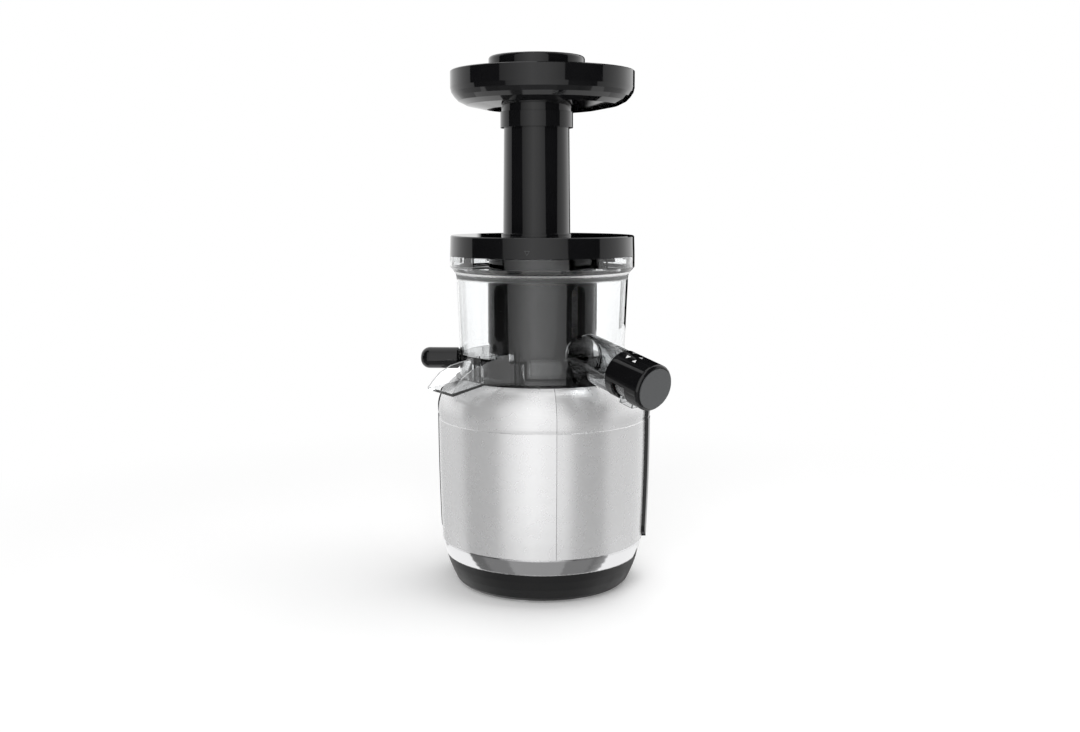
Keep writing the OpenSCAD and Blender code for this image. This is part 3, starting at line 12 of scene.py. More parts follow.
import bmesh
import bpy
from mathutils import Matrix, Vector


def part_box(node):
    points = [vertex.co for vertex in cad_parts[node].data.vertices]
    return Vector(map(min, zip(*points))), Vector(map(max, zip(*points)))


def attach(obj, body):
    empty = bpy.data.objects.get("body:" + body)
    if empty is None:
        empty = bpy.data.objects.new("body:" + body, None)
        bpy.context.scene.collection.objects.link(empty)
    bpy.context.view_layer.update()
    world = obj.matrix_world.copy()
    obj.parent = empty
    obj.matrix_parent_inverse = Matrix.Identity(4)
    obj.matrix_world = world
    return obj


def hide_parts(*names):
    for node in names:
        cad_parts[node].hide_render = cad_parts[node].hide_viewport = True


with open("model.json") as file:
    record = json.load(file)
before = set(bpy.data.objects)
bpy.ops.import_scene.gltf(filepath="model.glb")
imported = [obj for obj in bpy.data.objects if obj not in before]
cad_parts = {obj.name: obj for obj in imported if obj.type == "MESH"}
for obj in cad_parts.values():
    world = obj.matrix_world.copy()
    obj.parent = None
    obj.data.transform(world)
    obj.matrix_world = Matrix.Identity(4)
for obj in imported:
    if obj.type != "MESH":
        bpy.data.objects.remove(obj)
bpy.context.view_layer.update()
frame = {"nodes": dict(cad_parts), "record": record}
nodes = frame["nodes"]

# %% [markdown]
# ## Camera
# The photograph was taken from the front, a little above the bowl, with the whole juicer small
# in the picture. A camera that was fitted to six circles of the object, such as the rim of the
# tray and the edge of the silver panel, stands about a metre away and looks down by 8 degrees.
# The lens follows from the same fit, so no shift is needed.

# %% The camera
lens_mm = 40.62
sensor_mm = 36
pitch = math.radians(7.797)
camera_place = (-0.00194, -1.0259, 0.32623)
camera_data = bpy.data.cameras.new("camera")
camera_data.lens = lens_mm
camera_data.sensor_width = sensor_mm
camera_data.clip_start = 0.01
camera = bpy.data.objects.new("camera", camera_data)
camera.location = camera_place
camera.rotation_euler = (math.pi / 2 - pitch, 0, 0)
bpy.context.scene.collection.objects.link(camera)
bpy.context.scene.camera = camera
bpy.context.scene.view_settings.view_transform = "Standard"
print("lens", lens_mm, "mm, distance", round(camera.location.length, 3), "m")

# %% [markdown]
# ## Tools for node trees
# Finishes and repeated pieces are both built from nodes. Written out one call at a time, a tree
# is long and hard to follow, so three small helpers come first. The first one makes a node and
# fills its sockets: a plain value is set, and the output of another node is linked. The second
# one is a single step of arithmetic, and the third takes a value from one range to another.

# %% Helpers for any node tree
def add_node(tree, kind, sockets=None, **settings):
    """A node with its settings. Each named or numbered socket gets a value, or a link from another socket."""
    node = tree.nodes.new(kind)
    for name, value in settings.items():
        setattr(node, name, value)
    for name, value in (sockets or {}).items():
        if isinstance(value, bpy.types.NodeSocket):
            tree.links.new(value, node.inputs[name])
        else:
            node.inputs[name].default_value = value
    return node


def math_node(tree, operation, first, second=0.0):
    """One step of arithmetic. A number or a socket may be given for each side."""
    return add_node(tree, "ShaderNodeMath", {0: first, 1: second}, operation=operation).outputs["Value"]


def map_range(tree, value, start, end, low=0.0, high=1.0, **settings):
    """Takes a value from one range to another, and stops it at both ends."""
    sockets = {"Value": value, "From Min": start, "From Max": end, "To Min": low, "To Max": high}
    return add_node(tree, "ShaderNodeMapRange", sockets, **settings).outputs["Result"]


print("node helpers:", add_node.__name__, math_node.__name__, map_range.__name__)

# %% [markdown]
# ## Tools for finishes
# A finish on a real part is never one even colour: moulded plastic has a faint texture, polish
# varies with handling, and metal has a grain. One helper builds such a finish. It reads the
# position on the object, so a pattern keeps its size in millimetres on every part, and drives
# three things with noise: a slight change of tone, a change of roughness, and a fine relief.
# What is the same all over, such as how metallic it is, stays on the shader itself.

# %% A helper for finishes
noise_low, noise_high = 0.3, 0.7
edge_samples = 4


def finish(name, colour, tone, roughness, spread=0.02, metallic=0.0, tone_scale=60, rough_scale=90,
           grain=0.0, grain_scale=1500, stretch=(1, 1, 1), edge=0.0, **sockets):
    """A material whose tone, polish and relief vary, in real sizes. Keyword names are socket names."""
    material = bpy.data.materials.new(name)
    material.use_nodes = True
    tree = material.node_tree
    shader = tree.nodes["Principled BSDF"]
    shader.inputs["Metallic"].default_value = metallic
    for key, value in sockets.items():
        shader.inputs[key.replace("_", " ")].default_value = value
    place = add_node(tree, "ShaderNodeTexCoord")
    mapping = add_node(tree, "ShaderNodeMapping", {"Scale": stretch, "Vector": place.outputs["Object"]})

    def noise(scale, detail):
        sizes = {"Scale": scale, "Detail": detail, "Vector": mapping.outputs["Vector"]}
        return add_node(tree, "ShaderNodeTexNoise", sizes).outputs["Fac"]

    shades = {"A": (*colour, 1), "B": (*tone, 1), "Factor": noise(tone_scale, 3)}
    mix = add_node(tree, "ShaderNodeMix", shades, data_type="RGBA")
    tree.links.new(mix.outputs["Result"], shader.inputs["Base Color"])
    polish = map_range(tree, noise(rough_scale, 4), noise_low, noise_high,
                       max(0.0, roughness - spread), roughness + spread)
    tree.links.new(polish, shader.inputs["Roughness"])
    relief = {}
    if edge:
        bevel = add_node(tree, "ShaderNodeBevel", {"Radius": edge}, samples=edge_samples)
        relief["Normal"] = bevel.outputs["Normal"]
    if grain:
        relief |= {"Strength": 1, "Distance": grain, "Height": noise(grain_scale, 2)}
        relief["Normal"] = add_node(tree, "ShaderNodeBump", relief).outputs["Normal"]
    if relief:
        tree.links.new(relief["Normal"], shader.inputs["Normal"])
    return material


print("noise from", noise_low, "to", noise_high, "drives the polish")

# %% [markdown]
# ## The finishes
# The photograph shows five of them: gloss black on the lid, tray, pusher, grips and tap; satin
# silver paint on the body; a polished ring; a matt black base cup; and the clear plastic of the
# bowl. The grey of the tap's end disc and the dark plastic of the brush show too.

# %% Finishes that show
looks = {
    "gloss_black": finish("gloss_black", (0.004, 0.004, 0.0045), (0.0065, 0.0065, 0.007), 0.06, 0.02,
                          grain=0.000004, grain_scale=160, edge=0.0004),
    "silver": finish("silver", (0.78, 0.78, 0.785), (0.80, 0.80, 0.805), 0.27, 0.02, metallic=0.56,
                     tone_scale=45),
    "bright_ring": finish("bright_ring", (0.86, 0.86, 0.87), (0.80, 0.80, 0.81), 0.09, 0.03, metallic=1.0,
                          tone_scale=30, grain=0.000003, grain_scale=300, edge=0.002),
    "base_black": finish("base_black", (0.006, 0.006, 0.0065), (0.010, 0.010, 0.0105), 0.5, 0.05,
                         tone_scale=700, grain=0.00003, grain_scale=1600, edge=0.0004,
                         Specular_IOR_Level=0.35),
    "clear": finish("clear", (0.975, 0.98, 0.982), (0.985, 0.99, 0.992), 0.012, 0.01,
                    tone_scale=18, grain=0.000012, grain_scale=34, Transmission_Weight=1.0, IOR=1.57),
    "disc_grey": finish("disc_grey", (0.075, 0.078, 0.080), (0.09, 0.093, 0.095), 0.36, 0.04,
                        tone_scale=900, grain=0.00001, grain_scale=1800, edge=0.0003),
    "dark_plastic": finish("dark_plastic", (0.006, 0.006, 0.0065), (0.009, 0.009, 0.0095), 0.12, 0.04,
                           grain=0.000003, grain_scale=400, edge=0.0003, Specular_IOR_Level=0.4),
}
print(len(looks), "finishes that show")

# %% [markdown]
# The bowl's plastic is clear but not empty: a long way through it turns smoky, which is what
# darkens its edges. A volume that absorbs light does that by itself, since the distance inside
# the wall decides how much is lost.

# %% The smoky depth of the clear plastic
clear_tree = looks["clear"].node_tree
smoke_density = 80
absorb = add_node(clear_tree, "ShaderNodeVolumeAbsorption",
                  {"Color": (0.0, 0.02, 0.03, 1), "Density": smoke_density})
clear_tree.links.new(absorb.outputs["Volume"], clear_tree.nodes["Material Output"].inputs["Volume"])
print("absorbs", smoke_density, "per metre at its darkest")

# %% [markdown]
# Below its rim the bowl's wall slopes inwards. Light is caught inside that slope by total
# reflection, and a polished one would draw a hard white line across the bowl. A moulded slope
# like this is a little matt, so the roughness rises in a band between two heights.

# %% The matt slope under the bowl's rim
slope_low, slope_high = 0.2595, 0.2685
slope_fade = 0.002
slope_matt = 0.45
clear_shader = clear_tree.nodes["Principled BSDF"]
polish = clear_shader.inputs["Roughness"].links[0].from_socket
place = add_node(clear_tree, "ShaderNodeTexCoord")
height = add_node(clear_tree, "ShaderNodeSeparateXYZ", {"Vector": place.outputs["Object"]}).outputs["Z"]
rise = map_range(clear_tree, height, slope_low, slope_low + slope_fade)
fall = map_range(clear_tree, height, slope_high, slope_high - slope_fade)
band = math_node(clear_tree, "MULTIPLY", fall, math_node(clear_tree, "MULTIPLY", rise, slope_matt))
clear_tree.links.new(math_node(clear_tree, "ADD", polish, band), clear_shader.inputs["Roughness"])
print("matt from", slope_low, "to", slope_high, "m")

# %% [markdown]
# The hidden parts get the finish that such parts have, because the object may be looked at from
# below or taken apart: cast and turned metal in the motor and gearbox, copper wire, a green
# board, rubber feet and silicone seals.

# %% Finishes of the hidden parts
looks |= {
    "rubber_black": finish("rubber_black", (0.016, 0.016, 0.016), (0.024, 0.024, 0.023), 0.75, 0.08,
                           tone_scale=500, grain=0.00004, grain_scale=1100),
    "steel": finish("steel", (0.56, 0.57, 0.58), (0.48, 0.49, 0.50), 0.28, 0.08, metallic=1.0,
                    stretch=(1, 1, 14), tone_scale=260, rough_scale=420, grain=0.000008, grain_scale=500),
    "laminations": finish("laminations", (0.20, 0.21, 0.22), (0.32, 0.33, 0.34), 0.42, 0.1, metallic=0.9,
                          stretch=(0.02, 0.02, 1), tone_scale=2000, grain=0.00003, grain_scale=2000),
    "copper": finish("copper", (0.62, 0.26, 0.12), (0.45, 0.16, 0.07), 0.3, 0.08, metallic=1.0,
                     tone_scale=350, grain=0.00001, grain_scale=900, Coat_Weight=0.5),
    "cast_alloy": finish("cast_alloy", (0.46, 0.47, 0.48), (0.56, 0.57, 0.58), 0.45, 0.08, metallic=0.9,
                         tone_scale=420, grain=0.00005, grain_scale=900),
    "bronze": finish("bronze", (0.50, 0.34, 0.15), (0.40, 0.26, 0.11), 0.42, 0.08, metallic=0.95,
                     tone_scale=900, grain=0.00003, grain_scale=1500),
    "board_green": finish("board_green", (0.018, 0.11, 0.045), (0.03, 0.15, 0.06), 0.35, 0.08,
                          tone_scale=220, grain=0.00001, grain_scale=700),
    "silicone": finish("silicone", (0.055, 0.06, 0.065), (0.08, 0.085, 0.09), 0.5, 0.06,
                       tone_scale=300, grain=0.00001, grain_scale=900),
    "seal_red": finish("seal_red", (0.27, 0.045, 0.025), (0.2, 0.03, 0.02), 0.45, 0.06,
                       tone_scale=400, grain=0.00001, grain_scale=900),
    "cream_plastic": finish("cream_plastic", (0.62, 0.55, 0.42), (0.67, 0.60, 0.47), 0.38, 0.05,
                            tone_scale=200, grain=0.00001, grain_scale=800,
                            Subsurface_Weight=0.1, Subsurface_Scale=0.002),
}
print(len(looks), "finishes in all")

# %% [markdown]
# Each CAD part names the material slot that it belongs to. The finishes carry the same names, so
# one loop dresses the whole model, and a part that is added to the CAD later needs no line here.

# %% Each CAD part takes the finish of its slot
for entry in frame["record"]["subparts"]:
    part = nodes[entry["node"]]
    part.data.materials.clear()
    part.data.materials.append(looks[entry["material_slot"]])

# %% [markdown]
# ## The studio
# The picture is a product shot: white all round, with a pale floor that keeps a soft shadow on
# both sides of the base. The floor is painted near the object, where it catches the shadow, and
# glows evenly further out, so that it meets the white background without a line. Rays that come
# through the clear bowl see a brighter glow, because the smoky plastic takes some of it away.
# The floor isn't sampled as a lamp: it is so large that rays find it by themselves, and the
# picture has less grain that way. The same holds for the cards further down.

# %% The pale floor
floor_r = 9
floor_sides = 96
floor_mesh = bpy.data.meshes.new("floor")
turns = [math.tau * i / floor_sides for i in range(floor_sides)]
ring = [(floor_r * math.cos(a), floor_r * math.sin(a), 0) for a in turns]
floor_mesh.from_pydata(ring, [], [list(range(floor_sides))])
floor = bpy.data.objects.new("floor", floor_mesh)
bpy.context.scene.collection.objects.link(floor)
floor_look = finish("floor_paint", (0.90, 0.90, 0.90), (0.91, 0.91, 0.91), 0.8, 0.05, tone_scale=3,
                    Specular_IOR_Level=0.1, Emission_Color=(1, 1, 1, 1), Emission_Strength=0.16)
floor_look.cycles.emission_sampling = "NONE"
print("floor", 2 * floor_r, "m across")

# %% The floor's glow further out
glow_start, glow_end = 0.22, 0.75
through_boost = 0.75
tree = floor_look.node_tree
place = add_node(tree, "ShaderNodeTexCoord")
away = add_node(tree, "ShaderNodeVectorMath", {0: place.outputs["Object"]}, operation="LENGTH")
rays = add_node(tree, "ShaderNodeLightPath")
boost = math_node(tree, "MULTIPLY", rays.outputs["Is Transmission Ray"], through_boost)
glow = add_node(tree, "ShaderNodeEmission", {"Strength": math_node(tree, "ADD", boost, 1.0)})
fade = map_range(tree, away.outputs["Value"], glow_start, glow_end, interpolation_type="SMOOTHSTEP")
paint = tree.nodes["Principled BSDF"]
blend = add_node(tree, "ShaderNodeMixShader", {
    "Fac": fade, 1: paint.outputs["BSDF"], 2: glow.outputs["Emission"]})
tree.links.new(blend.outputs["Shader"], tree.nodes["Material Output"].inputs["Surface"])
floor_mesh.materials.append(floor_look)
floor.visible_glossy = False
print("glows from", glow_start, "to", glow_end, "m")

# %% [markdown]
# The surroundings have to look white without flooding the object with light. A world can tell
# which kind of ray asks: the camera, a mirror-like surface and clear plastic see full white, and
# matt surfaces get less than half of it.

# %% White surroundings
matt_light = 0.45
world = bpy.data.worlds.new("studio")
bpy.context.scene.world = world
world.use_nodes = True
air = world.node_tree
rays = add_node(air, "ShaderNodeLightPath").outputs
seen = math_node(air, "MAXIMUM", rays["Is Camera Ray"], rays["Is Glossy Ray"])
seen = math_node(air, "MAXIMUM", seen, rays["Is Transmission Ray"])
background = air.nodes["Background"]
background.inputs["Color"].default_value = (1, 1, 1, 1)
air.links.new(map_range(air, seen, 0.0, 1.0, matt_light, 1.0), background.inputs["Strength"])
print("white surroundings; the light from them is", matt_light)

# %% [markdown]
# What makes gloss black read as gloss is what it reflects: a pale front, two dark gaps beside
# it, and pale sides. Real studios set that up with black and white cards. The cards here bend
# round the object and only show in reflections. Each one is a grid of points that carry their
# own glow, so that a single emission shader can draw bands with soft or hard edges.

# %% A helper for cards
card_r = 0.9
card_step = 3


def card_mesh(name, rows, levels):
    """A bent card round the axis. Each level is an azimuth, its lean, and the glow above and below.
    Each row is a height, the share of the lean there, and whether the upper glow counts."""
    columns = []
    for left, right in zip(levels, levels[1:]):
        count = max(1, math.ceil((right[0] - left[0]) / card_step))
        columns += [[p + (q - p) * i / count for p, q in zip(left, right)] for i in range(count)]
    columns.append(levels[-1])
    points, faces, glows = [], [], []
    for azimuth, lean, upper, lower in columns:
        for z, share, high in rows:
            a = math.radians(azimuth + lean * share)
            points.append((card_r * math.sin(a), -card_r * math.cos(a), z))
            glows.append(upper if high else lower)
    n = len(rows)
    for i in range(len(columns) - 1):
        for k in range(i * n, i * n + n - 1):
            faces.append((k, k + n, k + n + 1, k + 1))
    mesh = bpy.data.meshes.new(name)
    mesh.from_pydata(points, [], faces)
    mesh.attributes.new("glow", "FLOAT", "POINT").data.foreach_set("value", glows)
    return mesh


def card(name, rows, levels, through):
    """A card that only reflections see, and clear plastic too where through is set."""
    mesh = card_mesh(name, rows, levels)
    material = bpy.data.materials.new(name)
    material.use_nodes = True
    material.cycles.emission_sampling = "NONE"
    tree = material.node_tree
    tree.nodes.remove(tree.nodes["Principled BSDF"])
    level = add_node(tree, "ShaderNodeAttribute", attribute_name="glow").outputs["Fac"]
    light = add_node(tree, "ShaderNodeEmission", {"Strength": level})
    tree.links.new(light.outputs["Emission"], tree.nodes["Material Output"].inputs["Surface"])
    mesh.materials.append(material)
    piece = bpy.data.objects.new(name, mesh)
    bpy.context.scene.collection.objects.link(piece)
    piece.visible_camera = piece.visible_diffuse = piece.visible_shadow = False
    piece.visible_transmission = through
    return piece


print("cards stand", card_r, "m from the axis")

# %% [markdown]
# The front card is the one that matters. From left to right it is white, grey, a dark gap, a
# pale front that is brightest just left of the middle, a second dark gap, and white. The edges
# of the gaps lean a little, as they do in the reflections on the tray and the lid.

# %% The card in front
card_foot, card_waist, card_top = -0.3, 0.12, 3.0
lean_foot, lean_end = 0.22, 0.5
front_rows = [(card_foot, 1, 0), (0.0, 1, 0), (lean_foot, 1, 1), (lean_end, 0, 1), (card_top, 0, 1)]
left_side = [(-150, 0, 1.1, 0.6), (-128, 0, 1.1, 0.6), (-110, 0, 0.85, 0.55), (-96.2, 5, 0.66, 0.5)]
left_gap = [(-96, 5, 0, 0.1), (-51.6, 6, 0, 0.1)]
pale_front = [(-51.4, 6, 0.42, 0.45), (-35, 3, 0.72, 0.8), (-12, 0, 1.14, 1.2), (6, 0, 0.97, 1.0),
              (25.9, 5.5, 0.6, 0.65)]
right_gap = [(26.1, 5.5, 0, 0.1), (75.9, -6, 0, 0.1)]
right_side = [(76.1, -6, 0.6, 0.5), (100, 0, 0.95, 0.55), (125, 0, 1.4, 0.7), (138, 0, 1.4, 0.9)]
card("card_front", front_rows, left_side + left_gap + pale_front + right_gap + right_side, True)
print("the front card has", len(left_side + left_gap + pale_front + right_gap + right_side), "levels")

# %% [markdown]
# Behind the object only rims and edges catch the cards, so plain stretches are enough, with a
# dark part that outlines the clear bowl. A last card below the floor's level is there for the
# polished ring, which slopes and looks down: its bands are the ones that the ring shows.

# %% The cards behind and below
upper_rows = [(card_waist, 0, 1), (card_top, 0, 1)]
lower_rows = [(card_foot, 0, 1), (card_waist, 0, 1)]
ring_rows = [(-card_top, 0, 1), (card_foot, 0, 1)]


def plain(*steps):
    """Levels without a lean, from pairs of an azimuth and a glow."""
    return [(azimuth, 0, glow, glow) for azimuth, glow in steps]


card("card_side", upper_rows, plain((138, 1.4), (148, 1.4), (148.5, 0), (166, 0)), True)
card("card_side_low", lower_rows, plain((138, 0.9), (171, 0.9), (172, 0), (186, 0)), False)
card("card_back", upper_rows, plain((166, 0), (186, 0), (186.5, 0.85), (210, 1.1)), False)
card("card_low", ring_rows, plain(
    (-174, 1.0), (-93, 1.0), (-91, 0.15), (-73, 0.15), (-71, 0.21), (-41, 0.21), (-39, 0.32), (26, 0.32),
    (28, 0.21), (61, 0.21), (63, 0.15), (80, 0.3), (82, 1.0), (149, 1.0), (150, 0), (186, 0)), False)
print("five cards")

# %% [markdown]
# Two large lamps light the matt surfaces softly: one in front, above the camera, and one over
# the top. Reflections don't see them, because the cards already draw those.

# %% Two soft lamps
lamp_aim = Vector((0, 0, 0.2))


def lamp(name, place, size, watts):
    """A square lamp that faces the middle of the object."""
    data = bpy.data.lights.new(name, "AREA")
    data.size = size
    data.energy = watts
    thing = bpy.data.objects.new(name, data)
    thing.location = place
    thing.rotation_euler = (lamp_aim - Vector(place)).to_track_quat("-Z", "Y").to_euler()
    bpy.context.scene.collection.objects.link(thing)
    thing.visible_glossy = False
    return thing


lamp("lamp_front", (-0.25, -1.6, 0.9), 1.2, 16)
lamp("lamp_top", (0.35, 0.1, 1.7), 1.0, 13)
print("two lamps")

# %% [markdown]
# ## Tools for pieces
# What repeats or runs along a line is made with Geometry Nodes: a tree with named sizes, built
# here in the script. Its result is turned into a plain mesh at once, because the exported model
# has no live modifiers. One helper starts a tree with its inputs, one moves its points, one ends
# it with a sweep, and one runs it.

# %% Helpers for Geometry Nodes
def new_tree(name, floats, counts):
    """A Geometry Nodes tree with named inputs. Returns the tree, its inputs and its output node."""
    tree = bpy.data.node_groups.new(name, "GeometryNodeTree")
    kinds = [(label, "NodeSocketFloat") for label in floats] + [(label, "NodeSocketInt") for label in counts]
    for label, kind in kinds + [("Finish", "NodeSocketMaterial")]:
        tree.interface.new_socket(label, in_out="INPUT", socket_type=kind)
    tree.interface.new_socket("Geometry", in_out="OUTPUT", socket_type="NodeSocketGeometry")
    return tree, tree.nodes.new("NodeGroupInput").outputs, tree.nodes.new("NodeGroupOutput")


def set_places(tree, geometry, x, y, z):
    """Moves each point of a geometry to a place that is worked out for it."""
    place = add_node(tree, "ShaderNodeCombineXYZ", {"X": x, "Y": y, "Z": z})
    moved = add_node(tree, "GeometryNodeSetPosition", {
        "Geometry": geometry, "Position": place.outputs["Vector"]})
    return moved.outputs["Geometry"]


def end_tree(tree, curves, sides, caps, sizes, output):
    """Sweeps a thin wire along curves, and ends the tree in Realize Instances and Set Material."""
    wire = add_node(tree, "GeometryNodeCurvePrimitiveCircle", {"Resolution": sides, "Radius": sizes["Wire"]})
    sweep = add_node(tree, "GeometryNodeCurveToMesh",
                     {"Fill Caps": caps, "Curve": curves, "Profile Curve": wire.outputs["Curve"]})
    real = add_node(tree, "GeometryNodeRealizeInstances", {"Geometry": sweep.outputs["Mesh"]})
    paint = add_node(tree, "GeometryNodeSetMaterial",
                     {"Geometry": real.outputs["Geometry"], "Material": sizes["Finish"]})
    tree.links.new(paint.outputs["Geometry"], output.inputs["Geometry"])


def run_tree(name, tree, values, body, replaced):
    """Makes a plain mesh from a tree, lets it ride on a body, and takes the place of a CAD part."""
    piece = bpy.data.objects.new(name, bpy.data.meshes.new(name))
    bpy.context.scene.collection.objects.link(piece)
    modifier = piece.modifiers.new("form", "NODES")
    modifier.node_group = tree
    keys = {s.name: s.identifier for s in tree.interface.items_tree if s.in_out == "INPUT"}
    for label, value in values.items():
        modifier[keys[label]] = value
    bpy.context.view_layer.update()
    seen_by = piece.evaluated_get(bpy.context.evaluated_depsgraph_get())
    mesh = bpy.data.meshes.new_from_object(seen_by)
    piece.modifiers.remove(modifier)
    piece.data = mesh
    mesh.name = name
    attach(piece, body)
    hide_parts(replaced)
    print(name, len(mesh.polygons), "faces")
    return piece


print("four helpers ready")

# %% [markdown]
# ## The strainer's screen
# The juice leaves the pulp through a fine steel screen inside the strainer. Drawing each hole
# would take a boolean per hole. It is simpler to see the screen as wires: a flat grid is rolled
# into a cylinder by moving its points, its edges become curves, and each curve gets a thin
# profile. The counts of wires set the size of the holes, which the cell prints.

# %% The tree that rolls a grid
screen_tree, sizes, out = new_tree("rolled_screen", ["Radius", "Low", "Height", "Wire"], ["Around", "Up"])
grid = add_node(screen_tree, "GeometryNodeMeshGrid", {
    "Size X": 1, "Size Y": 1, "Vertices X": sizes["Around"], "Vertices Y": sizes["Up"]})
where = add_node(screen_tree, "GeometryNodeInputPosition").outputs["Position"]
flat = add_node(screen_tree, "ShaderNodeSeparateXYZ", {"Vector": where}).outputs
turn = math_node(screen_tree, "MULTIPLY", flat["X"], math.tau)
rise = math_node(screen_tree, "MULTIPLY", math_node(screen_tree, "ADD", flat["Y"], 0.5), sizes["Height"])
rolled = set_places(
    screen_tree, grid.outputs["Mesh"],
    math_node(screen_tree, "MULTIPLY", math_node(screen_tree, "COSINE", turn), sizes["Radius"]),
    math_node(screen_tree, "MULTIPLY", math_node(screen_tree, "SINE", turn), sizes["Radius"]),
    math_node(screen_tree, "ADD", rise, sizes["Low"]))
lines = add_node(screen_tree, "GeometryNodeMeshToCurve", {"Mesh": rolled})
end_tree(screen_tree, lines.outputs["Curve"], 4, True, sizes, out)
print("the screen's tree has", len(screen_tree.nodes), "nodes")

# %% The screen
low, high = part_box("strainer_mesh")
wire_r = 0.00022
wires_around, wires_up = 131, 33
screen_r = high[0] - wire_r
screen_height = high[2] - low[2] - 2 * wire_r
run_tree("strainer_screen", screen_tree, {
    "Radius": screen_r, "Low": low[2] + wire_r, "Height": screen_height, "Wire": wire_r,
    "Around": wires_around, "Up": wires_up, "Finish": looks["steel"]}, "bowl", "strainer_mesh")
hole_wide = math.tau * screen_r / (wires_around - 1) - 2 * wire_r
hole_tall = screen_height / (wires_up - 1) - 2 * wire_r
print("holes", round(hole_wide * 1000, 2), "by", round(hole_tall * 1000, 2), "mm")

# %% [markdown]
# ## The coils of the motor
# The ends of a motor's winding are bundles of enamelled wire. The bundle here is one long wire
# that winds round a ring: a line of points, each placed by its number, gives the path. Where a
# shape follows a rule like this, nodes are shorter than any modelling.

# %% The tree that winds a ring
steps_per_turn = 12
coil_tree, sizes, out = new_tree("ring_winding", ["Middle", "Width", "Depth", "Height", "Wire"], ["Turns"])
count = math_node(coil_tree, "MULTIPLY", sizes["Turns"], steps_per_turn)
path = add_node(coil_tree, "GeometryNodeMeshLine", {"Count": count})
number = add_node(coil_tree, "GeometryNodeInputIndex").outputs["Index"]
whole = math_node(coil_tree, "MULTIPLY", math_node(coil_tree, "DIVIDE", number, count), math.tau)
small = math_node(coil_tree, "MULTIPLY", number, math.tau / steps_per_turn)
swing = math_node(coil_tree, "MULTIPLY", math_node(coil_tree, "COSINE", small), sizes["Width"])
reach = math_node(coil_tree, "ADD", sizes["Middle"], swing)
bob = math_node(coil_tree, "MULTIPLY", math_node(coil_tree, "SINE", small), sizes["Depth"])
wound = set_places(
    coil_tree, path.outputs["Mesh"],
    math_node(coil_tree, "MULTIPLY", reach, math_node(coil_tree, "COSINE", whole)),
    math_node(coil_tree, "MULTIPLY", reach, math_node(coil_tree, "SINE", whole)),
    math_node(coil_tree, "ADD", sizes["Height"], bob))
lines = add_node(coil_tree, "GeometryNodeMeshToCurve", {"Mesh": wound})
closed = add_node(coil_tree, "GeometryNodeSetSplineCyclic", {
    "Cyclic": True, "Geometry": lines.outputs["Curve"]})
end_tree(coil_tree, closed.outputs["Geometry"], 6, False, sizes, out)
print("the winding's tree has", len(coil_tree.nodes), "nodes")

# %% The winding heads, one wire each
low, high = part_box("stator_windings")
core_low, core_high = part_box("stator_core")
copper_r = 0.00055
coil_turns = 130
head_width, head_flare = 0.0142, 0.2
outer = high[0] - copper_r
inner = outer - (high[2] - core_high[2]) * head_flare - head_width
for name, bottom, top in (("winding_low", low[2], core_low[2]), ("winding_high", core_high[2], high[2])):
    run_tree(name, coil_tree, {
        "Middle": (outer + inner) / 2, "Width": (outer - inner) / 2, "Depth": (top - bottom) / 2 - copper_r,
        "Height": (top + bottom) / 2, "Turns": coil_turns, "Wire": copper_r, "Finish": looks["copper"]},
        "base", "stator_windings")

# %% [markdown]
# ## Marks
# The lid, the tap and the switch carry small printed marks that show how they go together and
# which way they turn. A mark is ink, a few hundredths of a millimetre thick. Each one is drawn
# flat and then wrapped on the surface that carries it, so that it follows the curve.

# %% A helper for printed marks
ink = finish("white_ink", (0.80, 0.80, 0.80), (0.74, 0.74, 0.74), 0.45, 0.05, tone_scale=900)
ink_t = 0.00004
mm = 0.001


def mark(name, outline, hole, to_surface, body, paint=ink):
    """A flat outline in millimetres, with an optional hole, wrapped by to_surface(x, y, height)."""
    mesh = bmesh.new()
    rings = [[[mesh.verts.new(to_surface(x * mm, y * mm, height)) for height in (0, ink_t)] for x, y in loop]
             for loop in (outline, hole) if loop]
    for loop in rings:
        for (a, b), (c, d) in zip(loop, loop[1:] + loop[:1]):
            mesh.faces.new((a, c, d, b))
    for side in (0, 1):
        if hole:
            rim, inside = [[(a[side], b[side]) for a, b in zip(loop, loop[1:] + loop[:1])] for loop in rings]
            for (a, b), (c, d) in zip(rim, inside):
                mesh.faces.new((a, b, d, c))
        else:
            mesh.faces.new([pair[side] for pair in rings[0]])
    bmesh.ops.recalc_face_normals(mesh, faces=mesh.faces)
    data = bpy.data.meshes.new(name)
    mesh.to_mesh(data)
    mesh.free()
    data.materials.append(paint)
    piece = bpy.data.objects.new(name, data)
    bpy.context.scene.collection.objects.link(piece)
    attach(piece, body)
    return piece


print("ink", ink_t / mm, "mm thick")

# %% [markdown]
# Every mark on the lid and the tap is a triangle, solid or open. Its sides get a point in the
# middle as well, because a long straight side would cut through the curve that it lies on.

# %% A helper for triangles
half_tall = 0.43


def triangle(size, down=True, lift=0.0):
    """The corners of a triangle, with the middle of each side, so that it can bend."""
    s = -1 if down else 1
    corners = [(-size / 2, lift - s * size * half_tall), (size / 2, lift - s * size * half_tall),
               (0, lift + s * size * half_tall)]
    points = []
    for (a, b), (c, d) in zip(corners, corners[1:] + corners[:1]):
        points += [(a, b), ((a + c) / 2, (b + d) / 2)]
    return points


print("a triangle has", len(triangle(1)), "points")

# %% [markdown]
# The lid's mark is an open triangle that points down, which shows where the lid meets the bowl
# when it is locked. The outline is put round the axis, at the radius of the lid's side.

# %% The lid's mark
lid_low, lid_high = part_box("lid")
mark_azimuth = math.radians(-9)
mark_z = lid_low[2] + 0.0155
lid_side_r = 0.07725


def on_lid(x, y, height):
    """A point on the lid's side, x to the right and y up from the middle of the mark."""
    r = lid_side_r + height
    a = mark_azimuth + x / r
    return (r * math.sin(a), -r * math.cos(a), mark_z + y)


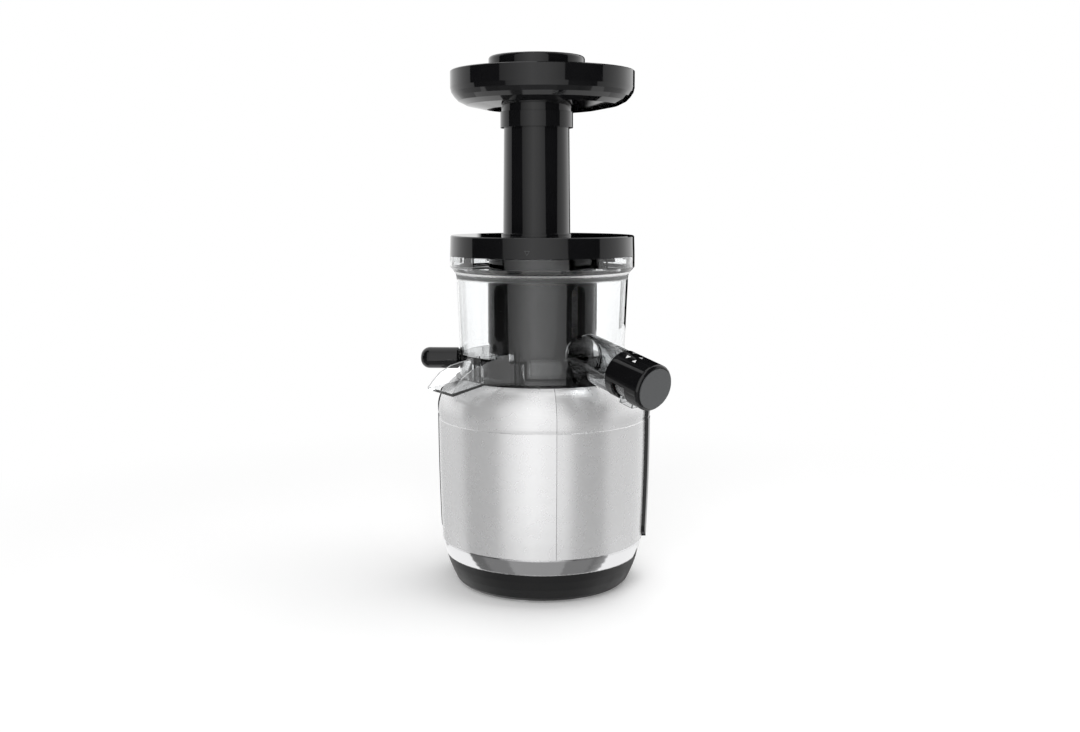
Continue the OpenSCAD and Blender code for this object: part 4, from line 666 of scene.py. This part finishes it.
mark("lid_mark", triangle(4.4), triangle(3.5, lift=0.1), on_lid, "lid", looks["disc_grey"])
print("lid mark at", [round(v, 4) for v in on_lid(0, 0, 0)], "lid box", lid_low, lid_high)

# %% [markdown]
# The tap's cap is a cylinder that slopes down to the front right. Its marks are wrapped the same
# way, round the axis that the tap turns on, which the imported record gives. Two solid triangles
# point to the open place and two open ones to the closed place.

# %% The tap's marks
joints = {j["name"]: j for j in frame["record"]["behaviour"]["joints"]}
tap_root = Vector(joints["tap_turn"]["pos_m"])
tap_out = Vector(joints["tap_turn"]["axis"]).normalized()
tap_side = Vector((-tap_out.y, tap_out.x, 0)).normalized()
tap_down = tap_side.cross(tap_out)
tap_r = 0.0186


def on_tap(along, turn):
    """Gives a function that wraps a flat outline on the cap, at a distance along it and a turn round it."""
    def place(x, y, height):
        a = math.radians(turn) + y / tap_r
        outwards = tap_down * math.cos(a) + tap_side * math.sin(a)
        return tap_root + tap_out * (along + x) + outwards * (tap_r + height)
    return place


mark("tap_mark_open", triangle(4.2, False), None, on_tap(0.0472, -156.4), "tap")
mark("tap_mark_more", triangle(3.6), None, on_tap(0.0560, -155.1), "tap")
mark("tap_mark_shut", triangle(3.6, False), triangle(2.2, False, 0.1), on_tap(0.0443, 174.1), "tap")
mark("tap_mark_less", triangle(3.6), triangle(2.2, lift=-0.1), on_tap(0.0559, -178), "tap")
print("tap marks round the axis", [round(v, 4) for v in tap_out])

# %% [markdown]
# A power switch carries a bar for on and a ring for off. The rocker's face has two slopes that
# meet in the middle, so the marks are laid on a face whose depth grows away from the middle.

# %% The switch's marks
rocker_pin = Vector(joints["power_switch"]["pos_m"])
rocker_side = Vector(joints["power_switch"]["axis"]).normalized()
rocker_out = Vector((-rocker_side.y, rocker_side.x, 0))
if rocker_out.dot(rocker_pin) < 0:
    rocker_out = -rocker_out
rocker_middle, rocker_end, rocker_half = 0.0104, 0.013, 0.0135
mark_rise = 0.0075


def on_rocker(middle):
    """Gives a function that lays a flat outline on the rocker's face, at a height from its middle."""
    def place(x, y, height):
        up = middle + y
        depth = rocker_middle + (rocker_end - rocker_middle) * abs(up) / rocker_half + height
        return rocker_pin + rocker_out * depth + rocker_side * x + Vector((0, 0, up))
    return place


def circle(r, sides=32):
    """The points of a circle round the middle."""
    return [(r * math.cos(math.tau * i / sides), r * math.sin(math.tau * i / sides)) for i in range(sides)]


bar = [(-0.5, -2.4), (0.5, -2.4), (0.5, 2.4), (-0.5, 2.4)]
mark("switch_mark_on", bar, None, on_rocker(mark_rise), "rocker")
mark("switch_mark_off", circle(2.5), circle(1.8), on_rocker(-mark_rise), "rocker")
print("switch marks face", [round(v, 3) for v in rocker_out])
